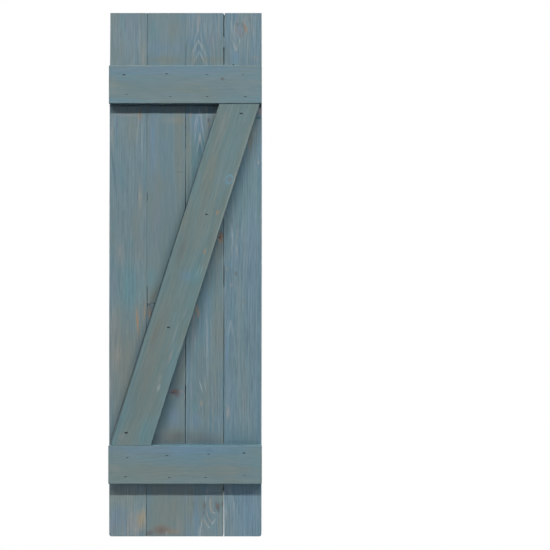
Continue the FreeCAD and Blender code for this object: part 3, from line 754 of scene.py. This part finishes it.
def cut_slots(bm, piece, staple):
    """Cuts the slot that each staple's crown has sunk into the front of a timber."""
    front = min(vert.co.y for vert in bm.verts)
    pooled_and_shaded = bm.verts.layers.float.new(POOL_AND_SHADE)

    def half_sizes(sink):
        """Half the slot's length and height: the deeper a crown is driven, the more room it breaks out."""
        return staple.crown / 2 + sink * staple.play / 2, staple.wire / 2 + sink * staple.play

    def front_faces():
        """The faces that make up the timber's front by now."""
        return [
            face for face in bm.faces
            if face.normal.y < -PARALLEL and face.calc_center_median().y < front + MM]

    for across, up, sink, _ in STAPLES[piece]:
        half_length, half_height = half_sizes(sink)
        for axis, place, half in ((0, across * MM, half_length), (2, up * MM, half_height)):
            for side in (-half, half):
                faces = front_faces()
                edges = {edge for face in faces for edge in face.edges}
                verts = {vert for face in faces for vert in face.verts}
                normal = Vector((0, 0, 0))
                normal[axis] = 1
                bmesh.ops.bisect_plane(
                    bm, geom=[*faces, *edges, *verts], plane_co=normal * (place + side), plane_no=normal)
    for across, up, sink, cover in STAPLES[piece]:
        mouth = []
        half_length, half_height = half_sizes(sink)
        for face in front_faces():
            centre = face.calc_center_median()
            if abs(centre.x - across * MM) < half_length and abs(centre.z - up * MM) < half_height:
                mouth.append(face)
        # The slot's walls and floor get the slot darkness: stain pooling there, and painted shade in the
        # slot.
        for vert in draw_out(bm, mouth, (0, sink * MM + staple.wire / 2, 0)):
            vert[pooled_and_shaded] = 1.0 - cover
        bmesh.ops.delete(bm, geom=mouth, context="FACES")


def shape_batten(name, sizes, staple):
    """One level batten, with its staples' slots."""
    low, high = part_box(name)
    bm = block(low + Vector((BATTEN_SHORT[name] * MM, 0, 0)), high)
    ease(bm, sharp_edges(bm), sizes.batten_arris, sizes.arris_segments)
    cut_slots(bm, name, staple)
    return bm


def brace_slant(sizes):
    """How far the brace leans off the upright, from its reach and its width."""
    low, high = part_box(BRACE)
    spread, rise = high.x - low.x, high.z - low.z
    return math.acos(sizes.brace_width / math.hypot(spread, rise)) - math.atan2(rise, spread)


def shape_brace(sizes, staple):
    """The brace: a slanted outline with level ends, as thick as the timber."""
    low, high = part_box(BRACE)
    end = sizes.brace_width / math.cos(brace_slant(sizes))
    outline = ((low.x, low.z), (low.x + end, low.z), (high.x, high.z), (high.x - end, high.z))
    bm = bmesh.new()
    face = bm.faces.new([bm.verts.new((x + sizes.brace_shift, low.y, z)) for x, z in outline])
    draw_out(bm, [face], (0, high.y - low.y, 0))
    bmesh.ops.recalc_face_normals(bm, faces=bm.faces)
    long_edges = [
        edge for edge in sharp_edges(bm)
        if abs(edge.verts[0].co.z - edge.verts[1].co.z) > sizes.brace_width]
    ease(bm, long_edges, sizes.brace_arris, sizes.arris_segments)
    cut_slots(bm, BRACE, staple)
    return bm


def shape_staple(across, up, front, sink, cover, staple):
    """One staple: a flat wire bent into a crown and two legs, driven in from the front."""
    half = staple.crown / 2
    inner = half - staple.wire

    def bent_corner(side, reach, radius, depth):
        """The points round one bend, from the crown to the leg."""
        middle = Vector((side * (reach - radius), depth + radius))
        turns = [math.radians(90) * step / staple.bend_steps for step in range(staple.bend_steps + 1)]
        return [
            (middle.x + side * radius * math.sin(turn), middle.y - radius * math.cos(turn))
            for turn in turns]

    outer_bend, inner_bend = staple.bend + staple.wire, staple.bend
    outline = [
        (half, staple.leg), (inner, staple.leg),
        *reversed(bent_corner(1, inner, inner_bend, staple.wire)),
        *bent_corner(-1, inner, inner_bend, staple.wire),
        (-inner, staple.leg), (-half, staple.leg),
        *reversed(bent_corner(-1, half, outer_bend, 0.0)),
        *bent_corner(1, half, outer_bend, 0.0),
    ]
    bm = bmesh.new()
    covered = bm.verts.layers.float.new(COVER)
    place = Vector((across * MM, front + sink * MM, up * MM - staple.wire / 2))
    face = bm.faces.new([bm.verts.new(place + Vector((x, y, 0))) for x, y in outline])
    draw_out(bm, [face], (0, 0, staple.wire))
    bmesh.ops.recalc_face_normals(bm, faces=bm.faces)
    for vert in bm.verts:
        vert[covered] = cover
    return bm


class Graph:
    """A shader tree that is written as calls. Each call adds a node and gives back what it puts out."""

    def __init__(self, tree):
        self.tree = tree

    def node(self, kind, inputs=None, **settings):
        """A node with its settings made and its inputs fed."""
        node = self.tree.nodes.new(kind)
        for name, value in settings.items():
            setattr(node, name, value)
        for key, value in (inputs or {}).items():
            self.feed(node.inputs[key], value)
        return node

    def feed(self, socket, value):
        """Links an output to a socket, or sets the socket's own value."""
        if isinstance(value, bpy.types.NodeSocket):
            self.tree.links.new(value, socket)
        else:
            socket.default_value = value

    def math(self, operation, *values, clamp=False):
        """One step of arithmetic on values."""
        return self.node(
            "ShaderNodeMath", dict(enumerate(values)), operation=operation, use_clamp=clamp).outputs[0]

    def remap(self, value, low, high, new_low=0.0, new_high=1.0):
        """Eases a value from one range to another, and stays inside it."""
        return self.node(
            "ShaderNodeMapRange",
            {"Value": value, "From Min": low, "From Max": high, "To Min": new_low, "To Max": new_high},
            interpolation_type="SMOOTHSTEP").outputs[0]

    def hypot(self, first, second):
        """The length of a step that goes so far one way and so far square to it."""
        squares = [self.math("MULTIPLY", side, side) for side in (first, second)]
        return self.math("SQRT", self.math("ADD", *squares))

    def split(self, vector):
        """The three parts of a vector."""
        return self.node("ShaderNodeSeparateXYZ", {0: vector}).outputs

    def noise(self, place, size, detail=2.0, roughness=0.5):
        """Soft noise from 0 to 1 whose patches are about that size, in millimetres."""
        scaled = self.node("ShaderNodeVectorMath", {0: place, 1: size}, operation="DIVIDE").outputs[0]
        return self.node(
            "ShaderNodeTexNoise",
            {"Vector": scaled, "Scale": 1.0, "Detail": detail, "Roughness": roughness}).outputs[0]

    def mix(self, factor, first, second, blend="MIX"):
        """The second colour laid over the first, as far as the factor says."""
        inputs = {MIX_FACTOR: factor, MIX_FIRST: first, MIX_SECOND: second}
        return self.node("ShaderNodeMix", inputs, data_type="RGBA", blend_type=blend).outputs[MIX_RESULT]

    def group(self, tree, inputs):
        """The outputs of a node group that is fed with those inputs."""
        return self.node("ShaderNodeGroup", inputs, node_tree=tree).outputs


def node_group(name, inputs, outputs):
    """Turns a function that fills a shader node group into one that makes the group once and gives it."""

    def wrap(fill):
        @functools.wraps(fill)
        def group():
            tree = bpy.data.node_groups.get(name)
            if tree is None:
                tree = bpy.data.node_groups.new(name, "ShaderNodeTree")
                for in_out, sockets in (("INPUT", inputs), ("OUTPUT", outputs)):
                    for socket, kind in sockets.items():
                        tree.interface.new_socket(name=socket, in_out=in_out, socket_type=kind)
                given = tree.nodes.new("NodeGroupInput").outputs
                wanted = tree.nodes.new("NodeGroupOutput").inputs
                fill(Graph(tree), given, wanted)
            return tree

        return group

    return wrap


@node_group(
    "Knot Flow",
    {"Place": VECTOR, "Across": FLOAT, "Along": FLOAT, "Radius": FLOAT, "Stretch": FLOAT},
    {"Place": VECTOR, "Core": FLOAT, "Rim": FLOAT})
def knot_flow(g, given, wanted):
    """Bends the grain round a knot, and marks the knot's core and its rim."""
    across, depth, along = g.split(given["Place"])
    side = g.math("SUBTRACT", across, given["Across"])
    beyond = g.math("SUBTRACT", along, given["Along"])
    level = g.math("DIVIDE", side, given["Radius"])
    upright = g.math("DIVIDE", beyond, g.math("MULTIPLY", given["Radius"], given["Stretch"]))
    ragged = g.math("MULTIPLY_ADD", g.noise(given["Place"], (6, 12, 8)), 0.8, -0.4)
    reach = g.math("ADD", g.hypot(level, upright), ragged)
    squared = g.math("MULTIPLY", reach, reach)
    bend = g.math("SUBTRACT", 1.0, g.math("EXPONENT", g.math("MULTIPLY", squared, -0.5)))
    bent = g.math("MULTIPLY_ADD", side, bend, given["Across"])
    place = g.node("ShaderNodeCombineXYZ", {0: bent, 1: depth, 2: along}).outputs[0]
    g.feed(wanted["Place"], place)
    inner = g.math("MULTIPLY_ADD", g.noise(given["Place"], (3, 6, 4)), 1.4, 0.2)
    g.feed(wanted["Core"], g.math("MULTIPLY", g.remap(reach, 0.3, 1.05, 1.0, 0.0), inner, clamp=True))
    patchy = g.remap(g.noise(given["Place"], (7, 9, 9)), 0.3, 0.55, 0.35, 1.0)
    outer = g.math("MULTIPLY", g.remap(reach, 1.0, 1.6, 1.0, 0.0), patchy)
    g.feed(wanted["Rim"], g.math("MULTIPLY", g.remap(reach, 0.6, 1.0), outer))


@node_group(
    "Timber Rings",
    {"Place": VECTOR, "Heart Across": FLOAT, "Heart Depth": FLOAT, "Ring Width": FLOAT, "Wander": FLOAT},
    {"Latewood": FLOAT})
def timber_rings(g, given, wanted):
    """The growth rings of a tree about its heart, as they show on any face of a timber."""
    across, depth, _ = g.split(given["Place"])
    side = g.math("SUBTRACT", across, given["Heart Across"])
    behind = g.math("SUBTRACT", depth, given["Heart Depth"])
    radius = g.hypot(side, behind)
    slow = g.math("SUBTRACT", g.noise(given["Place"], (34, 34, 170)), 0.5)
    quick = g.math("SUBTRACT", g.noise(given["Place"], (5, 8, 46), 1.0), 0.5)
    wave = g.math("MULTIPLY_ADD", quick, 0.22, slow)
    count = g.math("DIVIDE", g.math("MULTIPLY_ADD", wave, given["Wander"], radius), given["Ring Width"])
    part = g.math("FRACT", count)
    strength = g.node(
        "ShaderNodeTexWhiteNoise", {"W": g.math("FLOOR", count)}, noise_dimensions="1D").outputs[0]
    line = g.math("MULTIPLY", g.remap(part, 0.4, 0.86), g.remap(part, 0.9, 1.0, 1.0, 0.0))
    g.feed(wanted["Latewood"], g.math("MULTIPLY", line, g.math("MULTIPLY_ADD", strength, 0.75, 0.25)))


@node_group(
    "Wood Fibre",
    {"Place": VECTOR},
    {"Patches": FLOAT, "Streaks": FLOAT, "Lines": FLOAT, "Fibres": FLOAT})
def wood_fibre(g, given, wanted):
    """Noise drawn out along the grain: broad patches, streaks, fine lines and fibres, each from 0 to 1."""
    g.feed(wanted["Patches"], g.noise(given["Place"], (34, 40, 170), 2.5))
    g.feed(wanted["Streaks"], g.noise(given["Place"], (5.5, 9, 190), 3.0, 0.6))
    g.feed(wanted["Lines"], g.noise(given["Place"], (1.8, 3, 38), 2.0))
    g.feed(wanted["Fibres"], g.noise(given["Place"], (0.45, 0.9, 14), 2.0))


@node_group(
    "Wood Mark",
    {"Place": VECTOR, "Middle": VECTOR, "Lean": VECTOR, "Half Size": VECTOR, "Fray": FLOAT,
     "Strength": FLOAT},
    {"Mask": FLOAT})
def wood_mark(g, given, wanted):
    """Marks a soft patch or streak on the wood, frayed by the fibres; it serves the wood's own colours and
    also painted shade and light.
    """
    spot = g.node(
        "ShaderNodeMapping",
        {"Vector": given["Place"], "Location": given["Middle"], "Rotation": given["Lean"],
         "Scale": given["Half Size"]},
        vector_type="TEXTURE").outputs[0]
    near = g.node("ShaderNodeTexGradient", {"Vector": spot}, gradient_type="SPHERICAL").outputs["Fac"]
    frayed = g.math("MULTIPLY", g.remap(near, 0.0, 1.0), given["Fray"])
    g.feed(wanted["Mask"], g.math("MULTIPLY", frayed, given["Strength"], clamp=True))


@node_group(
    "Grain Point",
    {"Place": VECTOR, "Middle": VECTOR, "Half Size": VECTOR, "Spread": FLOAT, "Fray": FLOAT,
     "Strength": FLOAT},
    {"Mask": FLOAT})
def grain_point(g, given, wanted):
    """Marks grain lines that meet in a point and open downward, or upward if the size along is under 0."""
    spot = g.node(
        "ShaderNodeMapping",
        {"Vector": given["Place"], "Location": given["Middle"], "Scale": given["Half Size"]},
        vector_type="TEXTURE").outputs[0]
    across, _, along = g.split(spot)
    off_line = g.math("MULTIPLY_ADD", along, given["Spread"], g.math("ABSOLUTE", across))
    soft = g.math("POWER", FADE, g.math("MULTIPLY", off_line, off_line))
    ends = g.math("MULTIPLY", g.remap(along, 0.08, -0.04), g.remap(along, -1.0, -0.5))
    frayed = g.math("MULTIPLY", g.math("MULTIPLY", soft, ends), given["Fray"])
    g.feed(wanted["Mask"], g.math("MULTIPLY", frayed, given["Strength"], clamp=True))


@node_group(
    "Timber Stain",
    {"Latewood": FLOAT, "Patches": FLOAT, "Streaks": FLOAT, "Lines": FLOAT, "Fibres": FLOAT, "Cool": COLOUR,
     "Warm": COLOUR, "Line": COLOUR, "Pale Lines": FLOAT, "Contrast": FLOAT},
    {"Color": COLOUR, "Value": FLOAT, "Roughness": FLOAT, "Height": FLOAT})
def timber_stain(g, given, wanted):
    """The stain's tone over a timber, and how its surface varies."""
    tone = g.math("MULTIPLY_ADD", g.math("SUBTRACT", given["Streaks"], 0.5), 0.5, given["Patches"])
    colour = g.mix(g.remap(tone, 0.34, 0.66), given["Cool"], given["Warm"])
    faint = g.math("MULTIPLY", given["Pale Lines"], 0.35)
    thin = g.math("MULTIPLY", g.remap(given["Streaks"], 0.52, 0.75), faint)
    show = g.math("MULTIPLY_ADD", given["Latewood"], given["Pale Lines"], thin, clamp=True)
    g.feed(wanted["Color"], g.mix(show, colour, given["Line"]))
    value = 0.0
    for part, share in (("Lines", 0.75), ("Fibres", 0.35), ("Streaks", 0.2), ("Patches", 0.15)):
        value = g.math("MULTIPLY_ADD", g.math("SUBTRACT", given[part], 0.5), share, value)
    g.feed(wanted["Value"], g.math("MULTIPLY_ADD", value, given["Contrast"], 1.0))
    rough = g.math("MULTIPLY_ADD", given["Fibres"], 0.16, 0.6)
    g.feed(wanted["Roughness"], g.math("MULTIPLY_ADD", given["Latewood"], -0.08, rough))
    g.feed(wanted["Height"], g.math("MULTIPLY_ADD", given["Latewood"], 0.5, given["Fibres"]))


@node_group(
    "Timber Ends",
    {"Place": VECTOR, "Normal": VECTOR},
    {"Edge": FLOAT, "Side": FLOAT, "End": FLOAT})
def timber_ends(g, given, wanted):
    """Marks a timber's rubbed edges, narrow faces and sawn ends, from the way its surface faces."""
    faces = [g.math("ABSOLUTE", part) for part in g.split(given["Normal"])]
    squarest = g.math("MAXIMUM", g.math("MAXIMUM", faces[0], faces[1]), faces[2])
    eased = g.remap(squarest, 0.995, 0.8)
    worn = g.remap(g.noise(given["Place"], (7, 7, 12)), 0.35, 0.65)
    g.feed(wanted["Edge"], g.math("MULTIPLY", eased, worn))
    g.feed(wanted["Side"], g.remap(faces[0], 0.75, 0.95))
    g.feed(wanted["End"], g.remap(faces[2], 0.7, 0.9))


class Grain:
    """How a timber lies: its middle, its length and thickness, and the turn that sets its grain upright."""

    def __init__(self, name, turn):
        low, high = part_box(name)
        self.name = name
        self.middle = (low + high) / 2
        self.turn = Euler((0, turn, 0))
        self.length = max(high - low) / MM
        self.thickness = (high - low).y / MM

    def place(self, across, up):
        """Where a point of the shutter lies on the timber, across and along its grain."""
        point = Vector((across, 0, up)) - self.middle / MM
        point.rotate(self.turn)
        return point.x, point.z


def heart_path(g, share, points, column):
    """The heart's place across or behind the timber as it runs along it, in millimetres."""
    node = g.node("ShaderNodeFloatCurve", {"Value": share})
    curve = node.mapping.curves[0]
    rows = [(row[0], 0.5 + row[column] / (2 * HEART_REACH)) for row in points]
    for point, row in zip(curve.points, (rows[0], rows[-1])):
        point.location = row
    for row in rows[1:-1]:
        curve.points.new(*row)
    node.mapping.update()
    return g.math("MULTIPLY_ADD", node.outputs[0], 2 * HEART_REACH, -HEART_REACH)


def opaque(colour):
    """A colour with its alpha, as a shader socket takes it."""
    return (*colour, 1.0)


def new_material(name):
    """A node material with its graph and its main shader."""
    material = bpy.data.materials.new(name)
    material.use_nodes = True
    shader = material.node_tree.nodes["Principled BSDF"]
    return material, Graph(material.node_tree), shader


def place_on_timber(g, grain):
    """Places in millimetres from a timber's middle, with its grain upright."""
    centre = grain.middle / MM
    centre.rotate(grain.turn)
    coordinates = g.node("ShaderNodeTexCoord").outputs["Object"]
    return g.node(
        "ShaderNodeMapping",
        {"Vector": coordinates, "Location": -centre, "Rotation": grain.turn,
         "Scale": (1 / MM,) * 3}).outputs[0]


def bend_round_knots(g, grain, place, stain):
    """The places with the grain bent round the knots, and each knot's masks, strengths and colours."""
    knots = []
    for core, core_strength, rim, rim_strength, across, up, radius, stretch in KNOTS.get(grain.name, ()):
        x, z = grain.place(across, up)
        made = g.group(
            knot_flow(), {"Place": place, "Across": x, "Along": z, "Radius": radius, "Stretch": stretch})
        place = made["Place"]
        for part, strength, key in (("Rim", rim_strength, rim), ("Core", core_strength, core)):
            knots.append((made[part], strength, opaque(getattr(stain, key))))
    return place, knots


def lay_streaks(g, grain, place, fray, shade, stain):
    """Lays a timber's streaks over its shade, one after another; some streaks are painted shade and painted
    light.
    """
    for key, across, up, half_width, half_length, lean, strength in STREAKS[grain.name]:
        x, z = grain.place(across, up)
        depth, reach = 0, THROUGH
        if grain.name in BOARDS and key in ON_FRONT:
            depth, reach = -grain.thickness / 2, grain.thickness
        mask = g.group(wood_mark(), {
            "Place": place, "Middle": (x, depth, z), "Lean": (0, math.atan(lean), 0),
            "Half Size": (SOFT * half_width, reach, SOFT * half_length),
            "Fray": fray, "Strength": strength})["Mask"]
        shade = g.mix(mask, shade, opaque(getattr(stain, key)))
    return shade


def lay_chevrons(g, grain, place, fray, shade, stain):
    """Lays a timber's pointed grain lines over its shade, one after another."""
    for key, across, up, spread, reach, half_width, strength in CHEVRONS.get(grain.name, ()):
        x, z = grain.place(across, up)
        mask = g.group(grain_point(), {
            "Place": place, "Middle": (x, 0, z),
            "Half Size": (half_width, THROUGH, math.copysign(reach, spread)),
            "Spread": abs(spread) * reach / half_width, "Fray": fray, "Strength": strength})["Mask"]
        shade = g.mix(mask, shade, opaque(getattr(stain, key)))
    return shade


def wear(g, grain, place, shade, stain):
    """Rubs a timber's edges pale, and stains its narrow faces, sawn ends and slots darker; the dark in the
    slots is stain pooling there and painted shade.
    """
    normal = g.node("ShaderNodeNewGeometry").outputs["Normal"]
    facing = g.node(
        "ShaderNodeMapping", {"Vector": normal, "Rotation": grain.turn}, vector_type="VECTOR").outputs[0]
    ends = g.group(timber_ends(), {"Place": place, "Normal": facing})
    rubs = (("Edge", EDGE_RUB, "pale"), ("Side", SIDE_SOAK, "deep"), ("End", END_SOAK, "dark"))
    for part, share, key in rubs:
        shade = g.mix(g.math("MULTIPLY", ends[part], share), shade, opaque(getattr(stain, key)))
    if grain.name in STAPLES:
        # Darkens the slots: stain pooling in them, and painted shade.
        pooled_and_shaded = g.node("ShaderNodeAttribute", attribute_name=POOL_AND_SHADE).outputs["Fac"]
        shade = g.mix(pooled_and_shaded, shade, opaque(stain.dark))
    return shade


def stained_timber(name, turn, stain):
    """The stained wood of one timber, with its own grain, knots and streaks."""
    timber, grain = TIMBERS[name], Grain(name, turn)
    material, g, shader = new_material("stained_" + name)
    place = place_on_timber(g, grain)
    flowing, knots = bend_round_knots(g, grain, place, stain)
    shift = tuple(step * timber["patch"] for step in PATCH_STEP)
    shifted = g.node("ShaderNodeVectorMath", {0: flowing, 1: shift}, operation="ADD").outputs[0]
    fibre = g.group(wood_fibre(), {"Place": shifted})

    share = g.math("MULTIPLY_ADD", g.split(place)[2], 1 / grain.length, 0.5)
    rings = g.group(timber_rings(), {
        "Place": flowing, "Heart Across": heart_path(g, share, timber["heart"], 1),
        "Heart Depth": heart_path(g, share, timber["heart"], 2),
        "Ring Width": timber["rings"], "Wander": RING_WANDER})
    tone = g.group(timber_stain(), {
        "Latewood": rings["Latewood"], "Patches": fibre["Patches"], "Streaks": fibre["Streaks"],
        "Lines": fibre["Lines"], "Fibres": fibre["Fibres"], "Cool": opaque(timber["cool"]),
        "Warm": opaque(timber["warm"]), "Line": opaque(stain.line), "Pale Lines": timber["lines"],
        "Contrast": timber["contrast"]})

    fray = g.remap(fibre["Lines"], 0.25, 0.6, 0.5, 1.15)
    shade = lay_streaks(g, grain, place, fray, tone["Color"], stain)
    shade = lay_chevrons(g, grain, place, fray, shade, stain)
    for mask, strength, colour in knots:
        shade = g.mix(g.math("MULTIPLY", mask, strength), shade, colour)
    shade = wear(g, grain, place, shade, stain)
    shade = g.mix(1.0, shade, tone["Value"], "MULTIPLY")

    bump = g.node(
        "ShaderNodeBump", {"Strength": RELIEF_SHARE, "Distance": RELIEF, "Height": tone["Height"]})
    g.feed(shader.inputs["Base Color"], shade)
    g.feed(shader.inputs["Roughness"], tone["Roughness"])
    g.feed(shader.inputs["Normal"], bump.outputs[0])
    shader.inputs["Specular IOR Level"].default_value = SHEEN
    return material


def staple_wire(stain):
    """Dull dark wire, more or less covered by the stain."""
    name = "staple_wire"
    if name in bpy.data.materials:
        return bpy.data.materials[name]
    material, g, shader = new_material(name)
    place = g.node("ShaderNodeMapping", {
        "Vector": g.node("ShaderNodeTexCoord").outputs["Object"], "Scale": (1 / MM,) * 3}).outputs[0]
    film = g.remap(g.noise(place, (1.6, 1.6, 1.6), 3.0), 0.4, 0.62)
    cover = g.node("ShaderNodeAttribute", attribute_name=COVER).outputs["Fac"]
    wire = g.mix(film, opaque(stain.wire), opaque(stain.dark))
    g.feed(shader.inputs["Base Color"], g.mix(cover, wire, opaque(stain.moss)))
    g.feed(shader.inputs["Roughness"], g.math("MULTIPLY_ADD", film, 0.25, 0.45))
    shader.inputs["Metallic"].default_value = 0.3
    return material


class SHUTTER_OT_boards(bpy.types.Operator):
    """Make the four upright boards"""

    bl_idname = "shutter.boards"
    bl_label = "Make Boards"

    def execute(self, context):
        scene = context.scene
        for number, name in enumerate(BOARDS):
            material = stained_timber(name, 0.0, scene.shutter_stain)
            finish_piece(shape_board(number, scene.shutter_timber), name, material, name)
        return {"FINISHED"}


class SHUTTER_OT_battens(bpy.types.Operator):
    """Make the two level battens, with a slot for each staple"""

    bl_idname = "shutter.battens"
    bl_label = "Make Battens"

    def execute(self, context):
        scene = context.scene
        for name in BATTENS:
            material = stained_timber(name, math.radians(-90), scene.shutter_stain)
            shape = shape_batten(name, scene.shutter_timber, scene.shutter_staple)
            finish_piece(shape, name, material, name)
        return {"FINISHED"}


class SHUTTER_OT_brace(bpy.types.Operator):
    """Make the diagonal brace, with a slot for each staple"""

    bl_idname = "shutter.brace"
    bl_label = "Make Brace"

    def execute(self, context):
        scene = context.scene
        sizes = scene.shutter_timber
        material = stained_timber(BRACE, -brace_slant(sizes), scene.shutter_stain)
        finish_piece(shape_brace(sizes, scene.shutter_staple), BRACE, material, BRACE)
        return {"FINISHED"}


class SHUTTER_OT_staples(bpy.types.Operator):
    """Drive the wire staples into the battens and the brace"""

    bl_idname = "shutter.staples"
    bl_label = "Drive Staples"

    def execute(self, context):
        scene = context.scene
        material = staple_wire(scene.shutter_stain)
        for name, rows in STAPLES.items():
            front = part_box(name)[0].y
            for number, (across, up, sink, cover) in enumerate(rows, start=1):
                shape = shape_staple(across, up, front, sink, cover, scene.shutter_staple)
                finish_piece(shape, f"{name}_staple_{number}", material)
        return {"FINISHED"}


def aim(thing, target):
    """Turns a lamp or the camera to face a point."""
    thing.rotation_euler = (Vector(target) - thing.location).to_track_quat("-Z", "Y").to_euler()


def add_lamp(name, side, power, colour=WHITE):
    """A rectangular area lamp from the table, shifted sideways."""
    place, target, size = LAMPS[name]
    lamp = bpy.data.lights.new(name, "AREA")
    lamp.shape = "RECTANGLE"
    lamp.size, lamp.size_y = size
    lamp.energy = power
    lamp.color = colour
    thing = bpy.data.objects.new(name, lamp)
    thing.location = (place[0] + side, *place[1:])
    thing.visible_camera = False
    aim(thing, (target[0] + side, *target[1:]))
    bpy.context.scene.collection.objects.link(thing)
    return lamp


def even_out(lamp):
    """Makes a lamp as bright far off as it is near, as a bank of lamps is."""
    lamp.use_nodes = True
    g = Graph(lamp.node_tree)
    falloff = g.node("ShaderNodeLightFalloff", {"Strength": 1.0})
    g.feed(lamp.node_tree.nodes["Emission"].inputs["Strength"], falloff.outputs["Constant"])


def seen_directly(g):
    """1 for a ray from the camera, straight or by way of metal or glass."""
    path = g.node("ShaderNodeLightPath").outputs
    seen = g.math("MAXIMUM", path["Is Camera Ray"], path["Is Glossy Ray"])
    return g.math("MAXIMUM", seen, path["Is Transmission Ray"])


def light_world(stage):
    """A white surround that lights the shutter only a little."""
    world = bpy.data.worlds.new("studio")
    bpy.context.scene.world = world
    world.use_nodes = True
    g = Graph(world.node_tree)
    soft = world.node_tree.nodes["Background"]
    soft.inputs["Color"].default_value = opaque(WHITE)
    soft.inputs["Strength"].default_value = stage.ambient
    white = g.node("ShaderNodeBackground", {"Color": opaque(WHITE), "Strength": 1.0})
    mixed = g.node("ShaderNodeMixShader", {0: seen_directly(g), 1: soft.outputs[0], 2: white.outputs[0]})
    g.feed(world.node_tree.nodes["World Output"].inputs["Surface"], mixed.outputs[0])


def pale_floor(stage):
    """The floor's material, which fades into the surround."""
    material, g, shader = new_material("pale_floor")
    seen = seen_directly(g)
    colour = g.mix(seen, opaque(stage.floor_bounce), opaque(stage.floor_colour))
    g.feed(shader.inputs["Base Color"], colour)
    shader.inputs["Roughness"].default_value = 0.9
    place = g.node("ShaderNodeTexCoord").outputs["Object"]
    flat = g.node("ShaderNodeVectorMath", {0: place, 1: (1, 1, 0)}, operation="MULTIPLY").outputs[0]
    out = g.node("ShaderNodeVectorMath", {0: flat}, operation="LENGTH").outputs["Value"]
    start, gone = (share * stage.floor_radius for share in FLOOR_FADE)
    fade = g.math("MULTIPLY", g.remap(out, start, gone), seen)
    white = g.node("ShaderNodeEmission", {"Color": opaque(WHITE), "Strength": 1.0})
    mixed = g.node("ShaderNodeMixShader", {0: fade, 1: shader.outputs[0], 2: white.outputs[0]})
    g.feed(material.node_tree.nodes["Material Output"].inputs["Surface"], mixed.outputs[0])
    return material


def lay_floor(stage):
    """A pale round floor that takes the shutter's shadow."""
    bm = bmesh.new()
    bmesh.ops.create_circle(bm, cap_ends=True, radius=stage.floor_radius, segments=FLOOR_SIDES)
    bmesh.ops.translate(bm, vec=(0, 0, -stage.floor_drop), verts=bm.verts)
    mesh = bpy.data.meshes.new("floor")
    bm.to_mesh(mesh)
    bm.free()
    mesh.materials.append(pale_floor(stage))
    floor = bpy.data.objects.new("floor", mesh)
    bpy.context.scene.collection.objects.link(floor)


def set_camera(scene, stage):
    """The camera, square to the boards' front."""
    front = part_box(BOARDS[0])[0].y
    camera = bpy.data.objects.new("camera", bpy.data.cameras.new("camera"))
    camera.location = (stage.camera_side, front - stage.camera_distance, stage.camera_height)
    camera.data.lens = camera.data.sensor_width * stage.camera_distance / stage.view_width
    aim(camera, (stage.camera_side, front, stage.camera_height))
    scene.collection.objects.link(camera)
    scene.camera = camera


class SHUTTER_OT_stage(bpy.types.Operator):
    """Set up the camera, the lamps, the surround and the floor"""

    bl_idname = "shutter.stage"
    bl_label = "Set Stage"

    def execute(self, context):
        scene, stage = context.scene, context.scene.shutter_stage
        set_camera(scene, stage)
        side = stage.camera_side
        even_out(add_lamp("key", side, stage.key))
        for name in ("left_fill", "right_fill"):
            add_lamp(name, side, stage.fill, stage.fill_colour)
        add_lamp("low_fill", side, stage.low_fill, stage.fill_colour)
        add_lamp("rear", 0.0, stage.rear)
        light_world(stage)
        lay_floor(stage)
        scene.view_settings.view_transform = "Standard"
        return {"FINISHED"}


STEPS = (SHUTTER_OT_boards, SHUTTER_OT_battens, SHUTTER_OT_brace, SHUTTER_OT_staples, SHUTTER_OT_stage)
SETTINGS = {
    "shutter_timber": ShutterTimber,
    "shutter_staple": ShutterStaple,
    "shutter_stain": ShutterStain,
    "shutter_stage": ShutterStage,
}


class SHUTTER_PT_build(bpy.types.Panel):
    """Sizes, colours and steps of the shutter"""

    bl_idname = "SHUTTER_PT_build"
    bl_label = "Board and Batten Shutter"
    bl_space_type = "VIEW_3D"
    bl_region_type = "UI"
    bl_category = "Shutter"

    def draw(self, context):
        for key, group in SETTINGS.items():
            box = self.layout.box()
            box.label(text=group.__doc__)
            for name in group.__annotations__:
                box.prop(getattr(context.scene, key), name)
        for step in STEPS:
            self.layout.operator(step.bl_idname)


CLASSES = (*SETTINGS.values(), *STEPS, SHUTTER_PT_build)


def register():
    """Adds the shutter's settings, steps and panel to Blender."""
    for cls in CLASSES:
        bpy.utils.register_class(cls)
    for key, group in SETTINGS.items():
        setattr(bpy.types.Scene, key, PointerProperty(type=group))


def unregister():
    """Takes them out again."""
    for key in SETTINGS:
        delattr(bpy.types.Scene, key)
    for cls in reversed(CLASSES):
        bpy.utils.unregister_class(cls)


def main():
    """Builds the shutter and its stage."""
    register()
    bpy.ops.shutter.boards()
    bpy.ops.shutter.battens()
    bpy.ops.shutter.brace()
    bpy.ops.shutter.staples()
    bpy.ops.shutter.stage()


if __name__ == "__main__":
    main()
